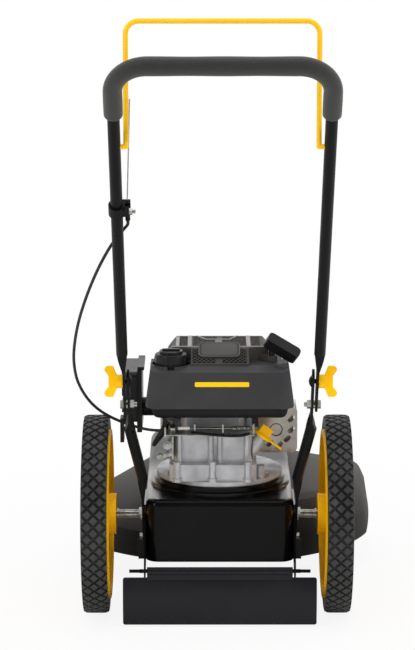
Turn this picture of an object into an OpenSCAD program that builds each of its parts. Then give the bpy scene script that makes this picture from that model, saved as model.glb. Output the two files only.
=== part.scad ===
// Wheeled string trimmer with a petrol engine on a pressed-steel deck.
// Sizes are in millimetres. Inside the modules X is to the right, Y is forward and Z is up, with the wheel axle
// over the line Y = 0 and the ground at Z = 0. The finished model is moved to the middle of its base.

/* [Wheels] */
// Outside diameter of a tyre
wheel_d = 356; // [350:1:362]
// Width of a tyre
tyre_w = 46; // [42:1:50]
// Diameter where the tyre sits on the rim
rim_d = 304; // [296:1:310]
// Distance between the middle planes of the wheels
track = 431; // [427:1:440]
// Diameter of the wheel hub
hub_d = 73; // [64:1:80]
// How far the hub reaches inwards from the wheel's middle plane
hub_reach = 35; // [33:1:40]
// Diameter of the stub axles
axle_d = 15; // [13:1:16]
// Number of round windows in the wheel disc
rim_windows = 6; // [4:1:8]

/* [Deck] */
// Width of the deck
deck_w = 262; // [258:1:264]
// Distance of the rear wall behind the axle
deck_rear = 92; // [88:1:96]
// Height of the deck's top above the ground
deck_top = 226; // [224:1:230]
// Height of the deck's lower edge above the ground
deck_bottom = 114; // [108:1:118]
// Thickness of the pressed sheet
deck_wall = 2.5; // [2:0.1:3]
// Radius of the deck's top edges
deck_round = 12; // [8:1:14]
// Radius of the deck's rear corners
deck_corner = 24; // [18:1:30]
// Sideways offset of the deck, engine and handle from the middle of the track
deck_offset = 5; // [0:0.5:8]
// Diameter of the round collar under the engine
collar_d = 252; // [246:1:254]
// Height of the collar above the deck
collar_rise = 17; // [14:1:20]
// Thickness of the side plates
side_plate_t = 3; // [2:0.5:4]

/* [Cutting head] */
// Distance of the head's axis ahead of the axle
head_ahead = 415; // [405:1:425]
// Radius of the circle that the line tips cut
line_reach = 280; // [260:1:285]
// Diameter of the nylon line
line_d = 4; // [3:0.5:5]
// Diameter of the trimmer head
head_d = 130; // [110:1:140]
// Diameter of the glide cup
cup_d = 120; // [100:1:130]
// Outer radius of the guards around the head's axis
guard_r = 299; // [296:1:302]
// Thickness of the moulded guards
guard_wall = 3; // [2.5:0.5:4]
// Where the left guard ends, from the middle of the track
left_guard_reach = 250; // [245:1:255]
// Height of the guards' lower edge above the ground
guard_bottom = 52; // [45:1:60]
// Diameter of the spindle shaft
spindle_d = 17; // [15:1:20]

/* [Belt drive] */
// Pitch diameter of the engine pulley
engine_pulley_d = 64; // [56:1:72]
// Pitch diameter of the spindle pulley
spindle_pulley_d = 96; // [88:1:104]
// Height of the belt's middle above the ground
belt_h = 188; // [186:1:192]
// Thickness of the belt
belt_t = 8; // [6:1:9]
// Width of the belt
belt_w = 11; // [9:1:12]

/* [Handle] */
// Slope of the handle from the ground
handle_angle = 52; // [50:0.5:54]
// Distance of the handle line behind the axle, at axle height
handle_behind = 38; // [36:1:42]
// Height of the fold pivot bolts above the ground
pivot_h = 433; // [425:1:440]
// Diameter of the handle tube
tube_d = 19; // [18:0.5:20]
// Wall of the handle tube
tube_wall = 1.5; // [1.2:0.1:2.5]
// Distance between the centre lines of the upper handle's legs
handle_w = 328; // [324:1:332]
// Distance from the pivot to the centre line of the cross bar
grip_reach = 785; // [770:1:800]
// Bend radius of the upper handle
bend_r = 52; // [48:1:56]
// Outside diameter of the foam grip
grip_d = 29.6; // [28:0.2:30]
// Length of the grip's straight ends
grip_leg = 49; // [35:1:55]
// Thickness of the flattened tube ends
flat_t = 4; // [3:0.5:5]
// Width of the flattened tube ends
flat_w = 26; // [24:1:28]
// Gap between the flattened ends, filled by a shoulder on the pivot bolt
flat_gap = 3; // [2:0.5:4]
// Distance from the pivot to the lock bolt
lock_reach = 61; // [58:1:66]
// Diameter of the pivot and lock bolts
bolt_d = 8; // [7:0.5:9]
// Span of a wing knob
knob_span = 52; // [48:1:58]

/* [Bail] */
// Diameter of the bail wire
bail_d = 8; // [6:0.5:8]
// Distance between the bail's legs
bail_w = 293; // [288:1:294]
// Distance from the bail's pivot to its cross bar
bail_reach = 190; // [188:1:200]
// Distance from the handle's cross bar down to the bail's pivot
bail_below = 167; // [160:1:175]
// Angle between the released bail and the handle
bail_open = 38; // [36:1:42]
// Bend radius of the bail
bail_bend = 20; // [14:1:26]

/* [Rear flap] */
// Width of the flap
flap_w = 343; // [330:1:348]
// Thickness of the flap
flap_t = 4; // [3:0.5:5]
// Diameter of the flap rod
rod_d = 7; // [6:0.5:8]
// Length of the flap rod
rod_len = 320; // [300:1:330]
// Distance of the rod behind the axle
rod_behind = 112; // [108:1:116]
// Height of the rod above the ground
rod_h = 103; // [100:1:106]
// Height of the flap's lower edge above the ground
flap_low = 4; // [3:1:12]
// Diameter of the rod's ends, which take push-on caps
rod_tip_d = 6; // [5:0.5:6]
// Length of the rod's ends
rod_tip_len = 18; // [12:1:20]

/* [Engine] */
// Distance of the crank axis ahead of the axle
engine_ahead = 50; // [46:1:54]
// Diameter of the mounting flange
flange_d = 226; // [220:1:230]
// Thickness of the mounting flange
flange_t = 8; // [6:1:10]
// Bolt circle of the mounting flange
flange_pcd = 194; // [190:1:198]
// Diameter of the crankshaft
crank_d = 25; // [22:1:28]
// Width of the crankcase
case_w = 141; // [136:1:145]
// Height of the crankcase above the flange
case_h = 85; // [82:1:88]
// Width of the fuel tank
tank_w = 263; // [258:1:266]
// Depth of the fuel tank
tank_depth = 92; // [88:1:94]
// Height of the fuel tank's top above the ground
tank_top = 464; // [462:1:468]
// Height of the fuel tank's underside above the ground
tank_bottom = 369; // [367:1:372]
// How much the tank narrows on each side towards its top
tank_taper = 10; // [4:1:14]
// Diameter of the fuel cap
cap_d = 57; // [54:1:60]
// Height of the fuel cap
cap_h = 28; // [24:1:32]
// Diameter of the blower housing
housing_d = 236; // [230:1:240]
// Height of the engine's top above the ground
engine_top = 487; // [485:1:490]
// How far the starter cover's sides stand in from the tank's
cover_inset = 38.5; // [36:0.5:42]
// Depth of the starter cover
cover_depth = 139; // [134:1:142]
// Height of the starter cover above the tank
cover_h = 20; // [17:1:21]

/* [Control cable] */
// Diameter of the cable's conduit
cable_d = 5; // [4:0.5:6]
// Diameter of the pull wire at the bail
wire_d = 2; // [1.5:0.1:2.5]
// Diameter of the fuel hose
hose_d = 8; // [6:0.5:9]
// Outside diameter of the governor spring
spring_d = 8; // [7:0.5:9]
// Wire diameter of the governor spring
spring_wire = 1.1; // [0.8:0.1:1.3]
// Number of curls of the governor spring
spring_curls = 11; // [6:1:12]
// Length of the governor spring between its ends
spring_len = 30; // [28:1:34]

/* [Hidden] */
$fn = 64;
// Faces of a shape that is only cut away reach this far past the solid
past = 1;
// Clearance of a turning fit, a snug fit and a loose gap
run_fit = 0.05;
snug = 0.1;
loose = 0.4;

black = [0.06, 0.06, 0.065];
grey = [0.16, 0.16, 0.165];
yellow = [0.95, 0.66, 0.02];
zinc = [0.72, 0.73, 0.72];
alloy = [0.75, 0.76, 0.78];
rubber = [0.05, 0.05, 0.05];

// Wheels and axles
axle_h = wheel_d / 2;
wheel_x = track / 2;
hub_out = 18;
disc_t = 7;
rim_band = 9;
rim_w = tyre_w - 6;
rim_lip = 3;
tyre_corner = 7;
window_d = 62;
rib_t = 6;
axle_shoulder_d = 19;
axle_shoulder_t = 8;
axle_nut_d = 24;
axle_nut_t = 10;
wheel_play = 0.5;

// Deck and side plates
side_x = deck_w / 2;
plate_x = side_x + side_plate_t;
collar_top = deck_top + collar_rise;
collar_step = 8;
collar_step_h = 7;
crank_hole_d = 70;
plate_front = 44;
plate_top = deck_top - deck_round - 2;
plate_tail = 11;
bent_edge = [121, 36];
m8_head_d = 15;
m8_head_t = 5.5;

// Handle
pivot_y = -handle_behind - (pivot_h - axle_h) / tan(handle_angle);
leg_x = handle_w / 2;
tube_r = tube_d / 2;
upper_flat_x = leg_x - flat_t;
lower_flat_x = upper_flat_x - flat_gap - flat_t;
flat_top = lock_reach + 25;
flat_blend = 32;
upper_flat_top = lock_reach + 35;
upper_blend = 40;
tube_lap = 4;
lower_tube_top = -68;
lower_tube_end = -200;
lower_flat_start = -250;
handle_bolt_hi = -300;
handle_bolt_lo = -376;
lower_flat_end = handle_bolt_lo - flat_w / 2;
head_t = 5;
knob_boss_d = 23;
knob_start = leg_x + loose;
knob_boss_len = 10;
knob_t = 12;
knob_tip_d = 12.4;
knob_tip_x = 24.2;
knob_waist_x = 23.6;
knob_turn = 49;
bolt_end = leg_x + 18;

// Bail
bail_pivot = grip_reach - bail_below;
bail_leg_x = bail_w / 2;
tab_t = 3;
tab_len = 80;
tab_w = 14;
tab_hole = 72;
bracket_below = 148;
bracket_reach = bail_pivot - bracket_below;
bracket_len = 20;
clip_t = 3.5;
ferrule_d = 8;
ferrule_x = -(leg_x - tube_r - 7);
ferrule_z = -8;
ferrule_lo = bracket_reach - 22;
ferrule_hi = bracket_reach + bracket_len;

// Engine
flange_z = collar_top;
flange_angles = [87, 207, 327];
case_z = flange_z + flange_t;
case_top = case_z + case_h;
case_rear = -85;
case_front = 50;
case_step = 30;
tank_rear = -140;
tank_front = tank_rear + tank_depth;
tank_corner = 30;
tank_round = 9;
tank_wall = 3;
lip_h = 21;
lip_inset = 11;
lip_round = 19;
ramp_rise = 8;
ramp_run = 26;
outlet_x = -tank_w / 2 + 34.5;
cap_inset = 45.5;
cap_x = -tank_w / 2 + cap_inset;
cap_y = -95;
cap_pocket = 6;
neck_d = 44;
housing_z = tank_bottom + 3;
housing_wall = 3;
volute_r = 86;
volute_h = tank_top - 18 - tank_bottom;
cover_z = tank_top + loose;
cover_w = tank_w - 2 * cover_inset;
cover_y = -4.5;
cover_corner = 50;
cover_slope = 16;
cover_side = 5;
cover_roof = 4;
cover_hole = 116;
panel_deep = 2;
panel_edge = 5;
panel_side = 15;
hood_inset = 80.5;
hood_w = tank_w - 2 * hood_inset;
hood_rear = tank_rear + 26;
hood_crest = [-74, -60];
cylinder_w = 104;
cylinder_front = 120;
cylinder_z = case_z + 22;
cylinder_h = 98;
fin_t = 3;
fin_gap = 9;
plug_d = 11;
rope_inset = 39.5;
rope_guide = [tank_w / 2 - rope_inset, -76];
spring_y = -104;
spring_x = 28;
spring_z = case_top + 12;
link_d = 4;
link_x = -52;
tab_x = -98;
cable_post = 11;
lever_x = -83.5;
lever_w = 8;
lever_y = -88;
muffler_x = 70;
muffler_w = 70;
muffler_y = -4;
muffler_d = 90;
muffler_z = 284;
muffler_h = 84;
muffler_gap = 6;
muffler_mid = muffler_x + (muffler_w - muffler_gap) / 2;
guard_off = 18;
guard_slots = [[59, 62], [59, 42], [52, 25], [38, 14], [21, 17], [10, 46]];
filter_x = -139;
filter_y = -50;
filter_len = 136;
filter_mid = 391;
filter_h = 92;
filter_t = 24;
filter_corner = 10;
filter_base_t = 9;
filter_base_lo = 326;
filter_base_hi = 438;
filter_strip_h = 6;
filter_ribs = [362, 392, 418];
filter_rib_h = 16;
intake_y = 64;
intake_z = 350;
intake_x = -cylinder_w / 2 - 24;
oil_axis = [0, 36, 0];
case_mid = -12;
case_foot = 7;
bolt_scallop = 20;
case_right = case_mid + case_w / 2;
oil_x = 75;
oil_y = -72;
oil_z = 326;

// Guards
guard_tail = 150;
guard_rise = 26;
guard_flange_h = 32;
left_guard_drop = 21;
left_guard_edge = 100;
right_guard_drop = 27;
right_guard_edge = 160;
guard_flare = 14;
guard_ease = 20;

// Cutting head and drive
spindle_top = belt_h + 14;
pulley_w = belt_w + 8;
head_z = 54;
head_h = 38;
line_z = head_z + 14;
cup_h = 46;
cup_wall = 5;
bridge_z = 148;
bridge_t = 4;
bridge_len = 84;
bearing_d = 40;
bearing_h = 12;
barrel_d = 54;
barrel_lo = 108;
barrel_hi = 172;
belt_clear = 0.55;
belt_lap = 0.5;

// Reaches of the whole object, which put its base in the middle of the frame
reach_left = -left_guard_reach;
reach_right = deck_offset + guard_r;
reach_front = head_ahead + (line_reach + line_d / 2) * sqrt(0.5);
reach_rear = pivot_y - grip_reach * cos(handle_angle) - grip_d / 2;
mid_x = (reach_left + reach_right) / 2;
mid_y = (reach_front + reach_rear) / 2;

// A point of the handle's plane, in the frame of the axle
function handle_point(p) = [deck_offset + p.x, pivot_y - p.y * cos(handle_angle) - p.z * sin(handle_angle),
    pivot_h + p.y * sin(handle_angle) - p.z * cos(handle_angle)];

// Route of the control cable: down from the bracket's ferrule and behind the left tube, then a loop out to the
// left and in to the engine
cable_start = [
    [ferrule_x, ferrule_lo - loose, ferrule_z], [ferrule_x - 0.5, ferrule_lo - 12, ferrule_z - 1],
    [-155, ferrule_lo - 28, -13], [-164, ferrule_lo - 48, -16], [-177, ferrule_lo - 70, -15],
    [-198, ferrule_lo - 118, -10]];
cable_loop = [
    [-214, -392, 646], [-231, -340, 588], [-240, -293, 532], [-239, -255, 489], [-232, -226, 459], [-220, -195, 431],
    [-205, -165, 408], [-188, -138, 390], [-168, -112, 374], [-148, -92, 362], [-130, -77, 353], [-112, -68, 348],
    [-94, -66, case_top + cable_post]];
cable_route = concat([for (p = cable_start) handle_point(p)], cable_loop);

// Route of the fuel hose: tank outlet, down and forward to the carburettor
hose_x = deck_offset + outlet_x;
hose_route = [
    [hose_x, -52, 366.6], [hose_x, -52, 358], [hose_x - 3, -50, 347], [hose_x - 11, -46, 332],
    [hose_x - 18, -38, 318], [-112, -20, 311], [-108, 5, 310], [-101, 30, 313], [-94, 55, 318], [-90, 72, 320],
    [-90, 83.6, 320]];

// Placing

// Moves the finished model to the middle of its base
module in_row() {
    translate([-mid_x, -mid_y, 0]) children();
}

// The deck's own middle
module on_deck() {
    translate([deck_offset, 0, 0]) children();
}

// The crank axis
module on_engine() {
    translate([deck_offset, engine_ahead, 0]) children();
}

// The head's axis
module on_head() {
    translate([deck_offset, head_ahead, 0]) children();
}

// The handle's plane: origin at the fold pivot, +Y up along the handle, +Z down and back
module on_handle() {
    translate([deck_offset, pivot_y, pivot_h]) rotate([180 - handle_angle, 0, 0]) children();
}

// The bail's plane: origin at the bail pivot, +Y up along the released bail
module on_bail() {
    on_handle() translate([0, bail_pivot, 0]) rotate([-bail_open, 0, 0]) children();
}

// The wheel's middle plane with the axle along Z, and the hub's inner end on the +Z side
module on_wheel(side) {
    translate([side * wheel_x, 0, axle_h]) rotate([0, -side * 90, 0]) children();
}

// Makes the left copy of something drawn on the right
module both_sides() {
    children();
    mirror([1, 0, 0]) children();
}

// Shared shapes

// Round bar from one point to another
module bar(a, b, d) {
    v = b - a;
    translate(a) rotate([0, acos(v.z / norm(v)), atan2(v.y, v.x)]) cylinder(d = d, h = norm(v));
}

// Plate drawn in the YZ plane, from x to x + t
module yz_plate(x, t) {
    translate([x, 0, 0]) rotate([90, 0, 90]) linear_extrude(t) children();
}

// Cylinder along X, from x to x + length
module x_cylinder(x, length, d) {
    translate([x, 0, 0]) rotate([0, 90, 0]) cylinder(d = d, h = length);
}

// Hexagonal head or nut along X
module x_hex(x, length, d) {
    translate([x, 0, 0]) rotate([0, 90, 0]) cylinder(d = d, h = length, $fn = 6);
}

// Flat rectangle with round corners, centred
module round_rect(w, d, r) {
    square([w - 2 * r, d], center = true);
    square([w, d - 2 * r], center = true);
    for (x = [-1, 1], y = [-1, 1]) translate([x * (w / 2 - r), y * (d / 2 - r)]) circle(r);
}

// Upright block with round corners and a rounded top edge
module round_block(w, d, corner, z_lo, z_hi, edge) {
    z_edge = z_hi - edge;
    translate([0, 0, z_lo]) linear_extrude(z_edge - z_lo) round_rect(w, d, corner);
    translate([0, 0, z_lo]) linear_extrude(z_hi - z_lo) round_rect(w - 2 * edge, d - 2 * edge, corner - edge);
    for (x = [-1, 1], y = [-1, 1]) translate([x * (w / 2 - corner), y * (d / 2 - corner), z_edge])
        rotate_extrude() translate([corner - edge, 0]) edge_round(edge);
    for (y = [-1, 1])
        translate([-w / 2 + corner, y * (d / 2 - edge), z_edge]) x_cylinder(0, w - 2 * corner, 2 * edge);
    for (x = [-1, 1]) translate([x * (w / 2 - edge), d / 2 - corner, z_edge]) rotate([90, 0, 0])
        cylinder(r = edge, h = d - 2 * corner);
}

// Half of a round edge's section
module edge_round(edge) {
    intersection() {
        circle(edge);
        translate([0, -edge]) square([edge, 2 * edge]);
    }
}

// Round drum with a rounded top edge
module round_drum(r, z_lo, z_hi, edge) {
    translate([0, 0, z_lo]) cylinder(r = r, h = z_hi - edge - z_lo);
    translate([0, 0, z_lo]) cylinder(r = r - edge, h = z_hi - z_lo);
    translate([0, 0, z_hi - edge]) rotate_extrude() translate([r - edge, 0]) edge_round(edge);
}

// Unit vector, and the frame that a tube carries along its route
function unit(v) = v / norm(v);
function route_dir(p, i) = let (n = len(p) - 1)
    unit(i == 0 ? p[1] - p[0] : i == n ? p[n] - p[n - 1] : unit(p[i + 1] - p[i]) + unit(p[i] - p[i - 1]));
function carried(p, i, v) = let (d = route_dir(p, i)) unit(v - d * (v * d));
function normals(p, i, v) = i == len(p) ? [] : let (n = carried(p, i, v)) concat([n], normals(p, i + 1, n));

// Tube swept along a route, as one closed surface
module swept_tube(p, d, sides) {
    ns = normals(p, 0, [0.31, 0.17, 0.93]);
    rings = [for (i = [0:len(p) - 1], k = [0:sides - 1])
        let (a = 360 * k / sides, t = route_dir(p, i), n = ns[i])
        p[i] + d / 2 * (cos(a) * n + sin(a) * cross(t, n))];
    wall = [for (i = [0:len(p) - 2], k = [0:sides - 1])
        let (a = i * sides + k, b = i * sides + (k + 1) % sides)
        each [[a, a + sides, b], [b, a + sides, b + sides]]];
    last = (len(p) - 1) * sides;
    lo = [for (k = [1:sides - 2]) [0, k, k + 1]];
    hi = [for (k = [1:sides - 2]) [last, last + k + 1, last + k]];
    polyhedron(concat(rings), concat(wall, lo, hi));
}

// Route smoothed to twice as many points, on a curve through the given ones
function smooth_route(p) = let (n = len(p) - 1) [for (i = [0:n - 1]) each [p[i],
    let (a = p[max(i - 1, 0)], b = p[min(i + 2, n)]) (9 * (p[i] + p[i + 1]) - a - b) / 16], p[n]];

// Deck and what is fixed to it

module deck_solid(inset, edge) {
    rear = -deck_rear + inset;
    front = head_ahead + deck_corner - inset;
    translate([0, (rear + front) / 2, 0])
        round_block(deck_w - 2 * inset, front - rear, deck_corner - inset, deck_bottom - (inset > 0 ? past : 0),
            deck_top - inset, edge);
    translate([0, head_ahead, 0])
        round_drum(side_x - inset, deck_bottom - (inset > 0 ? past : 0), deck_top - inset, edge);
}

module collar() {
    r = collar_d / 2;
    inner = r - collar_step;
    rotate_extrude() polygon([
        [r, deck_top - deck_round], [r, deck_top + collar_step_h - 2], [r - 2, deck_top + collar_step_h],
        [inner, deck_top + collar_step_h], [inner, collar_top - 2], [inner - 2, collar_top],
        [crank_hole_d / 2, collar_top], [crank_hole_d / 2, collar_top - deck_wall],
        [inner - deck_wall, collar_top - deck_wall], [inner - deck_wall, deck_top + collar_step_h - deck_wall],
        [r - deck_wall, deck_top + collar_step_h - deck_wall], [r - deck_wall, deck_top - deck_round]]);
}

module deck() {
    color(black) on_deck() difference() {
        union() {
            difference() {
                deck_solid(0, deck_round);
                deck_solid(deck_wall, deck_round - deck_wall);
                translate([0, engine_ahead, deck_bottom])
                    cylinder(d = collar_d - 2 * deck_wall, h = collar_top - deck_bottom);
            }
            translate([0, engine_ahead, 0]) collar();
        }
        translate([0, engine_ahead, 0]) flange_bolts(bolt_d + 2 * snug, deck_bottom);
        translate([0, 0, axle_h]) x_cylinder(-deck_w, 2 * deck_w, axle_d + 2 * snug);
        handle_bolt_holes();
    }
}

// Holes for the bolts that hold the lower handles
module handle_bolt_holes() {
    for (y = [handle_bolt_hi, handle_bolt_lo]) translate([0, pivot_y, pivot_h]) rotate([180 - handle_angle, 0, 0])
        translate([0, y, 0]) x_cylinder(-deck_w, 2 * deck_w, bolt_d + 2 * snug);
}

// Places a cylinder on each of the flange's bolts, from z up to the flange's top
module flange_bolts(d, z) {
    for (a = flange_angles) rotate(a) translate([flange_pcd / 2, 0, z])
        cylinder(d = d, h = flange_z + flange_t + past - z);
}

module side_plates() {
    color(black) on_deck() both_sides() difference() {
        union() {
            yz_plate(side_x, side_plate_t) {
                polygon([[-rod_behind - plate_tail, rod_h], [-rod_behind, rod_h - plate_tail],
                    [-deck_rear + 40, deck_bottom + 8], [plate_front, deck_bottom + 24], [plate_front, plate_top],
                    [-deck_rear + 26, plate_top], [-deck_rear + 12, plate_top - 30],
                    [-rod_behind - plate_tail, rod_h + 14]]);
                translate([-rod_behind, rod_h]) circle(plate_tail);
            }
            translate([side_x, -deck_rear - 4, bent_edge[0]]) cube([13, 2, bent_edge[1]]);
        }
        translate([0, 0, axle_h]) x_cylinder(0, deck_w, axle_d + 2 * snug);
        translate([0, -rod_behind, rod_h]) x_cylinder(0, deck_w, rod_d + 2 * snug);
        handle_bolt_holes();
    }
}

module lower_handles() {
    color(black) on_deck() both_sides() translate([0, pivot_y, pivot_h]) rotate([180 - handle_angle, 0, 0])
    difference() {
        union() {
            yz_plate(lower_flat_x, flat_t) difference() {
                union() {
                    translate([lower_tube_top + flat_blend - past, -flat_w / 2])
                        square([flat_top - flat_w / 2 - lower_tube_top - flat_blend + past, flat_w]);
                    translate([flat_top - flat_w / 2, 0]) circle(d = flat_w);
                }
                lock_slot();
            }
            flat_to_tube(lower_tube_top + flat_blend, lower_flat_x, lower_tube_top, lower_axis(lower_tube_top).x);
            bar(lower_axis(lower_tube_top + tube_lap), lower_axis(lower_tube_end - tube_lap), tube_d);
            flat_to_tube(lower_flat_start, plate_x, lower_tube_end, lower_axis(lower_tube_end).x);
            yz_plate(plate_x, flat_t) translate([lower_flat_end, -flat_w / 2])
                square([lower_flat_start + past - lower_flat_end, flat_w]);
        }
        bar(lower_axis(lower_tube_top), lower_axis(lower_tube_end), tube_d - 2 * tube_wall);
        x_cylinder(0, deck_w, bolt_d + 2 * snug);
        for (y = [handle_bolt_hi, handle_bolt_lo]) translate([0, y, 0]) x_cylinder(0, deck_w, bolt_d + 2 * snug);
    }
}

// Centre line of the lower tube, which leans in towards the deck
lower_x_top = lower_flat_x + flat_t / 2;
lower_x_end = plate_x + flat_t / 2;
function lower_axis(y) = [lower_x_top + (lower_x_end - lower_x_top) * (y - lower_tube_top)
    / (lower_tube_end - lower_tube_top), y, 0];

// Pressed stretch between a flat end whose inner face is at flat_x and a tube whose centre is at tube_x
module flat_to_tube(y_flat, flat_x, y_tube, tube_x) {
    length = abs(y_tube - y_flat);
    turn = y_tube > y_flat ? -90 : 90;
    r = tube_r - loose;
    intersection() {
        translate([0, 0, -flat_w]) linear_extrude(2 * flat_w) polygon([[flat_x, y_flat], [flat_x + flat_t, y_flat],
            [tube_x + r, y_tube], [tube_x - r, y_tube]]);
        yz_plate(0, deck_w) polygon([[y_flat, -flat_w / 2], [y_tube, -r], [y_tube, r], [y_flat, flat_w / 2]]);
        translate([tube_x, y_flat, 0]) rotate([turn, 0, 0])
            cylinder(r1 = flat_w / 2 + flat_t, r2 = r, h = length);
    }
}

// Slot for the lock bolt, open towards the front so that the bolt swings out of it
module lock_slot() {
    slot_w = bolt_d + 2 * loose;
    intersection() {
        difference() {
            circle(r = lock_reach + slot_w / 2);
            circle(r = lock_reach - slot_w / 2);
        }
        translate([0, -flat_w]) square([2 * lock_reach, flat_w]);
    }
    translate([lock_reach, 0]) circle(d = slot_w);
}

module axles() {
    color(zinc) for (side = [-1, 1]) {
        inner = abs(side * plate_x + deck_offset);
        hub_end = wheel_x - hub_reach;
        reach = wheel_x + hub_out + axle_nut_t + wheel_play;
        translate([0, 0, axle_h]) {
            x_cylinder(side > 0 ? inner - 20 : -reach, reach - inner + 20, axle_d);
            x_hex(side > 0 ? inner : -inner - axle_shoulder_t, axle_shoulder_t, axle_nut_d);
            x_cylinder(side > 0 ? hub_end - 4 - wheel_play : -hub_end + wheel_play, 4, axle_shoulder_d);
        }
    }
}

module flap_rod() {
    body = rod_len - 2 * rod_tip_len;
    color(black) on_deck() translate([0, -rod_behind, rod_h]) {
        x_cylinder(-body / 2, body, rod_d);
        both_sides() x_cylinder(body / 2, rod_tip_len, rod_tip_d);
    }
}

module spindle_bridge() {
    half = side_x - deck_wall;
    color(black) on_deck() translate([0, head_ahead, 0]) difference() {
        translate([-half, -bridge_len / 2, bridge_z]) cube([2 * half, bridge_len, bridge_t]);
        translate([0, 0, bridge_z - past]) cylinder(d = barrel_d + 2 * snug, h = bridge_t + 2 * past);
        difference() {
            translate([-deck_w, -deck_w, bridge_z - past]) cube([2 * deck_w, 2 * deck_w, bridge_t + 2 * past]);
            translate([0, 0, bridge_z - 2 * past]) cylinder(r = half, h = bridge_t + 4 * past);
        }
    }
}

module spindle_housing() {
    color(alloy) on_head() difference() {
        union() {
            translate([0, 0, barrel_lo]) cylinder(d = barrel_d, h = barrel_hi - barrel_lo);
            translate([0, 0, bridge_z + bridge_t]) cylinder(d = barrel_d + 34, h = 6);
        }
        translate([0, 0, barrel_lo - past]) cylinder(d = bearing_d + 2 * snug, h = bearing_h + past);
        translate([0, 0, barrel_hi - bearing_h]) cylinder(d = bearing_d + 2 * snug, h = bearing_h + past);
        translate([0, 0, barrel_lo]) cylinder(d = bearing_d - 6, h = barrel_hi - barrel_lo);
    }
}

module spindle_bearings() {
    color(zinc) on_head() for (z = [barrel_lo, barrel_hi - bearing_h]) translate([0, 0, z]) difference() {
        cylinder(d = bearing_d, h = bearing_h);
        translate([0, 0, -past]) cylinder(d = spindle_d + 2 * run_fit, h = bearing_h + 2 * past);
    }
}

// One bolt through a handle's lower flat, the side plate and the deck wall
module handle_bolt(y) {
    on_handle() translate([0, y, 0]) {
        x_cylinder(side_x - deck_wall - 12, flat_t + side_plate_t + deck_wall + 12, bolt_d);
        x_hex(plate_x + flat_t, m8_head_t, m8_head_d);
    }
}

module deck_bolts() {
    color(zinc) {
        for (y = [handle_bolt_hi, handle_bolt_lo]) {
            handle_bolt(y);
            translate([deck_offset, 0, 0]) mirror([1, 0, 0]) translate([-deck_offset, 0, 0]) handle_bolt(y);
        }
        on_engine() {
            flange_bolts(bolt_d, flange_z - deck_wall - 10);
            for (a = flange_angles) rotate(a) translate([flange_pcd / 2, 0, flange_z + flange_t])
                cylinder(d = m8_head_d, h = m8_head_t + past, $fn = 6);
        }
        for (side = [-1, 1]) translate([side * (wheel_x + hub_out + wheel_play), 0, axle_h]) difference() {
            x_hex(side > 0 ? 0 : -axle_nut_t, axle_nut_t, axle_nut_d);
            x_cylinder(-axle_nut_t - past, 2 * axle_nut_t + 2 * past, axle_d + 2 * snug);
        }
    }
}

module pivot_bolts() {
    color(zinc) on_deck() both_sides() translate([0, pivot_y, pivot_h]) {
        x_hex(lower_flat_x - m8_head_t - 1, m8_head_t + 1, m8_head_d);
        x_cylinder(lower_flat_x - m8_head_t - 6, leg_x - lower_flat_x + 2 * m8_head_t + 6, bolt_d);
        x_cylinder(lower_flat_x + flat_t, flat_gap - loose, m8_head_d - 1);
        x_hex(leg_x + loose, m8_head_t, m8_head_d);
    }
}

// Guards

// Section of a guard's wall and roof, from the deck out to the skirt
module guard_section(roof_in, roof_out) {
    inner = side_x - 40;
    shoulder = guard_r - guard_flare;
    polygon([[guard_r, guard_bottom], [shoulder, roof_out - guard_ease],
        [shoulder - 0.35 * guard_ease, roof_out - 5], [shoulder - guard_ease, roof_out + 3],
        [inner, roof_in], [inner, roof_in - guard_wall],
        [shoulder - guard_ease - guard_wall, roof_out + 3 - guard_wall],
        [shoulder - 0.35 * guard_ease - guard_wall, roof_out - 5 - guard_wall],
        [shoulder - guard_wall, roof_out - guard_ease - guard_wall], [guard_r - guard_wall, guard_bottom]]);
}

// Guard swept about the head's axis, trimmed at the deck's side and along a rising lower edge
module guard_shell(from_angle, sweep, roof_in, roof_out) {
    difference() {
        rotate(from_angle) rotate_extrude(angle = sweep, $fn = 96) guard_section(roof_in, roof_out);
        translate([-side_x, -2 * guard_r, 0]) cube([deck_w, 4 * guard_r, engine_top]);
        translate([-2 * guard_r, -guard_tail, guard_bottom - 30]) rotate([guard_rise, 0, 0])
            translate([0, 0, -guard_r]) cube([4 * guard_r, 3 * guard_r, guard_r]);
    }
}

// Upright flange that bolts the guard to the deck's side
module guard_flange(roof) {
    translate([side_x, -guard_tail - 40, roof - guard_flange_h])
        cube([guard_wall, guard_tail + 20, guard_flange_h]);
}

module left_guard() {
    color(grey) intersection() {
        on_head() {
            guard_shell(180, 90, deck_top - left_guard_drop, left_guard_edge);
            mirror([1, 0, 0]) guard_flange(deck_top - left_guard_drop - 23);
        }
        translate([reach_left, 0, 0]) cube([2 * guard_r, 2 * head_ahead, engine_top]);
    }
}

module right_guard() {
    color(grey) on_head() {
        guard_shell(-90, 100, deck_top - right_guard_drop, right_guard_edge);
        guard_flange(deck_top - right_guard_drop - 14);
    }
}

// Engine

module sump_flange() {
    color(alloy) on_engine() difference() {
        union() {
            translate([0, 0, flange_z]) cylinder(d = flange_d, h = flange_t);
            translate([0, 0, flange_z - 12]) cylinder(d = crank_hole_d - 10, h = 12 + past);
        }
        flange_bolts(bolt_d + 2 * snug, flange_z - past);
        translate([0, 0, deck_bottom]) cylinder(d = crank_d + 2 * run_fit, h = engine_top);
    }
}

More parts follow.
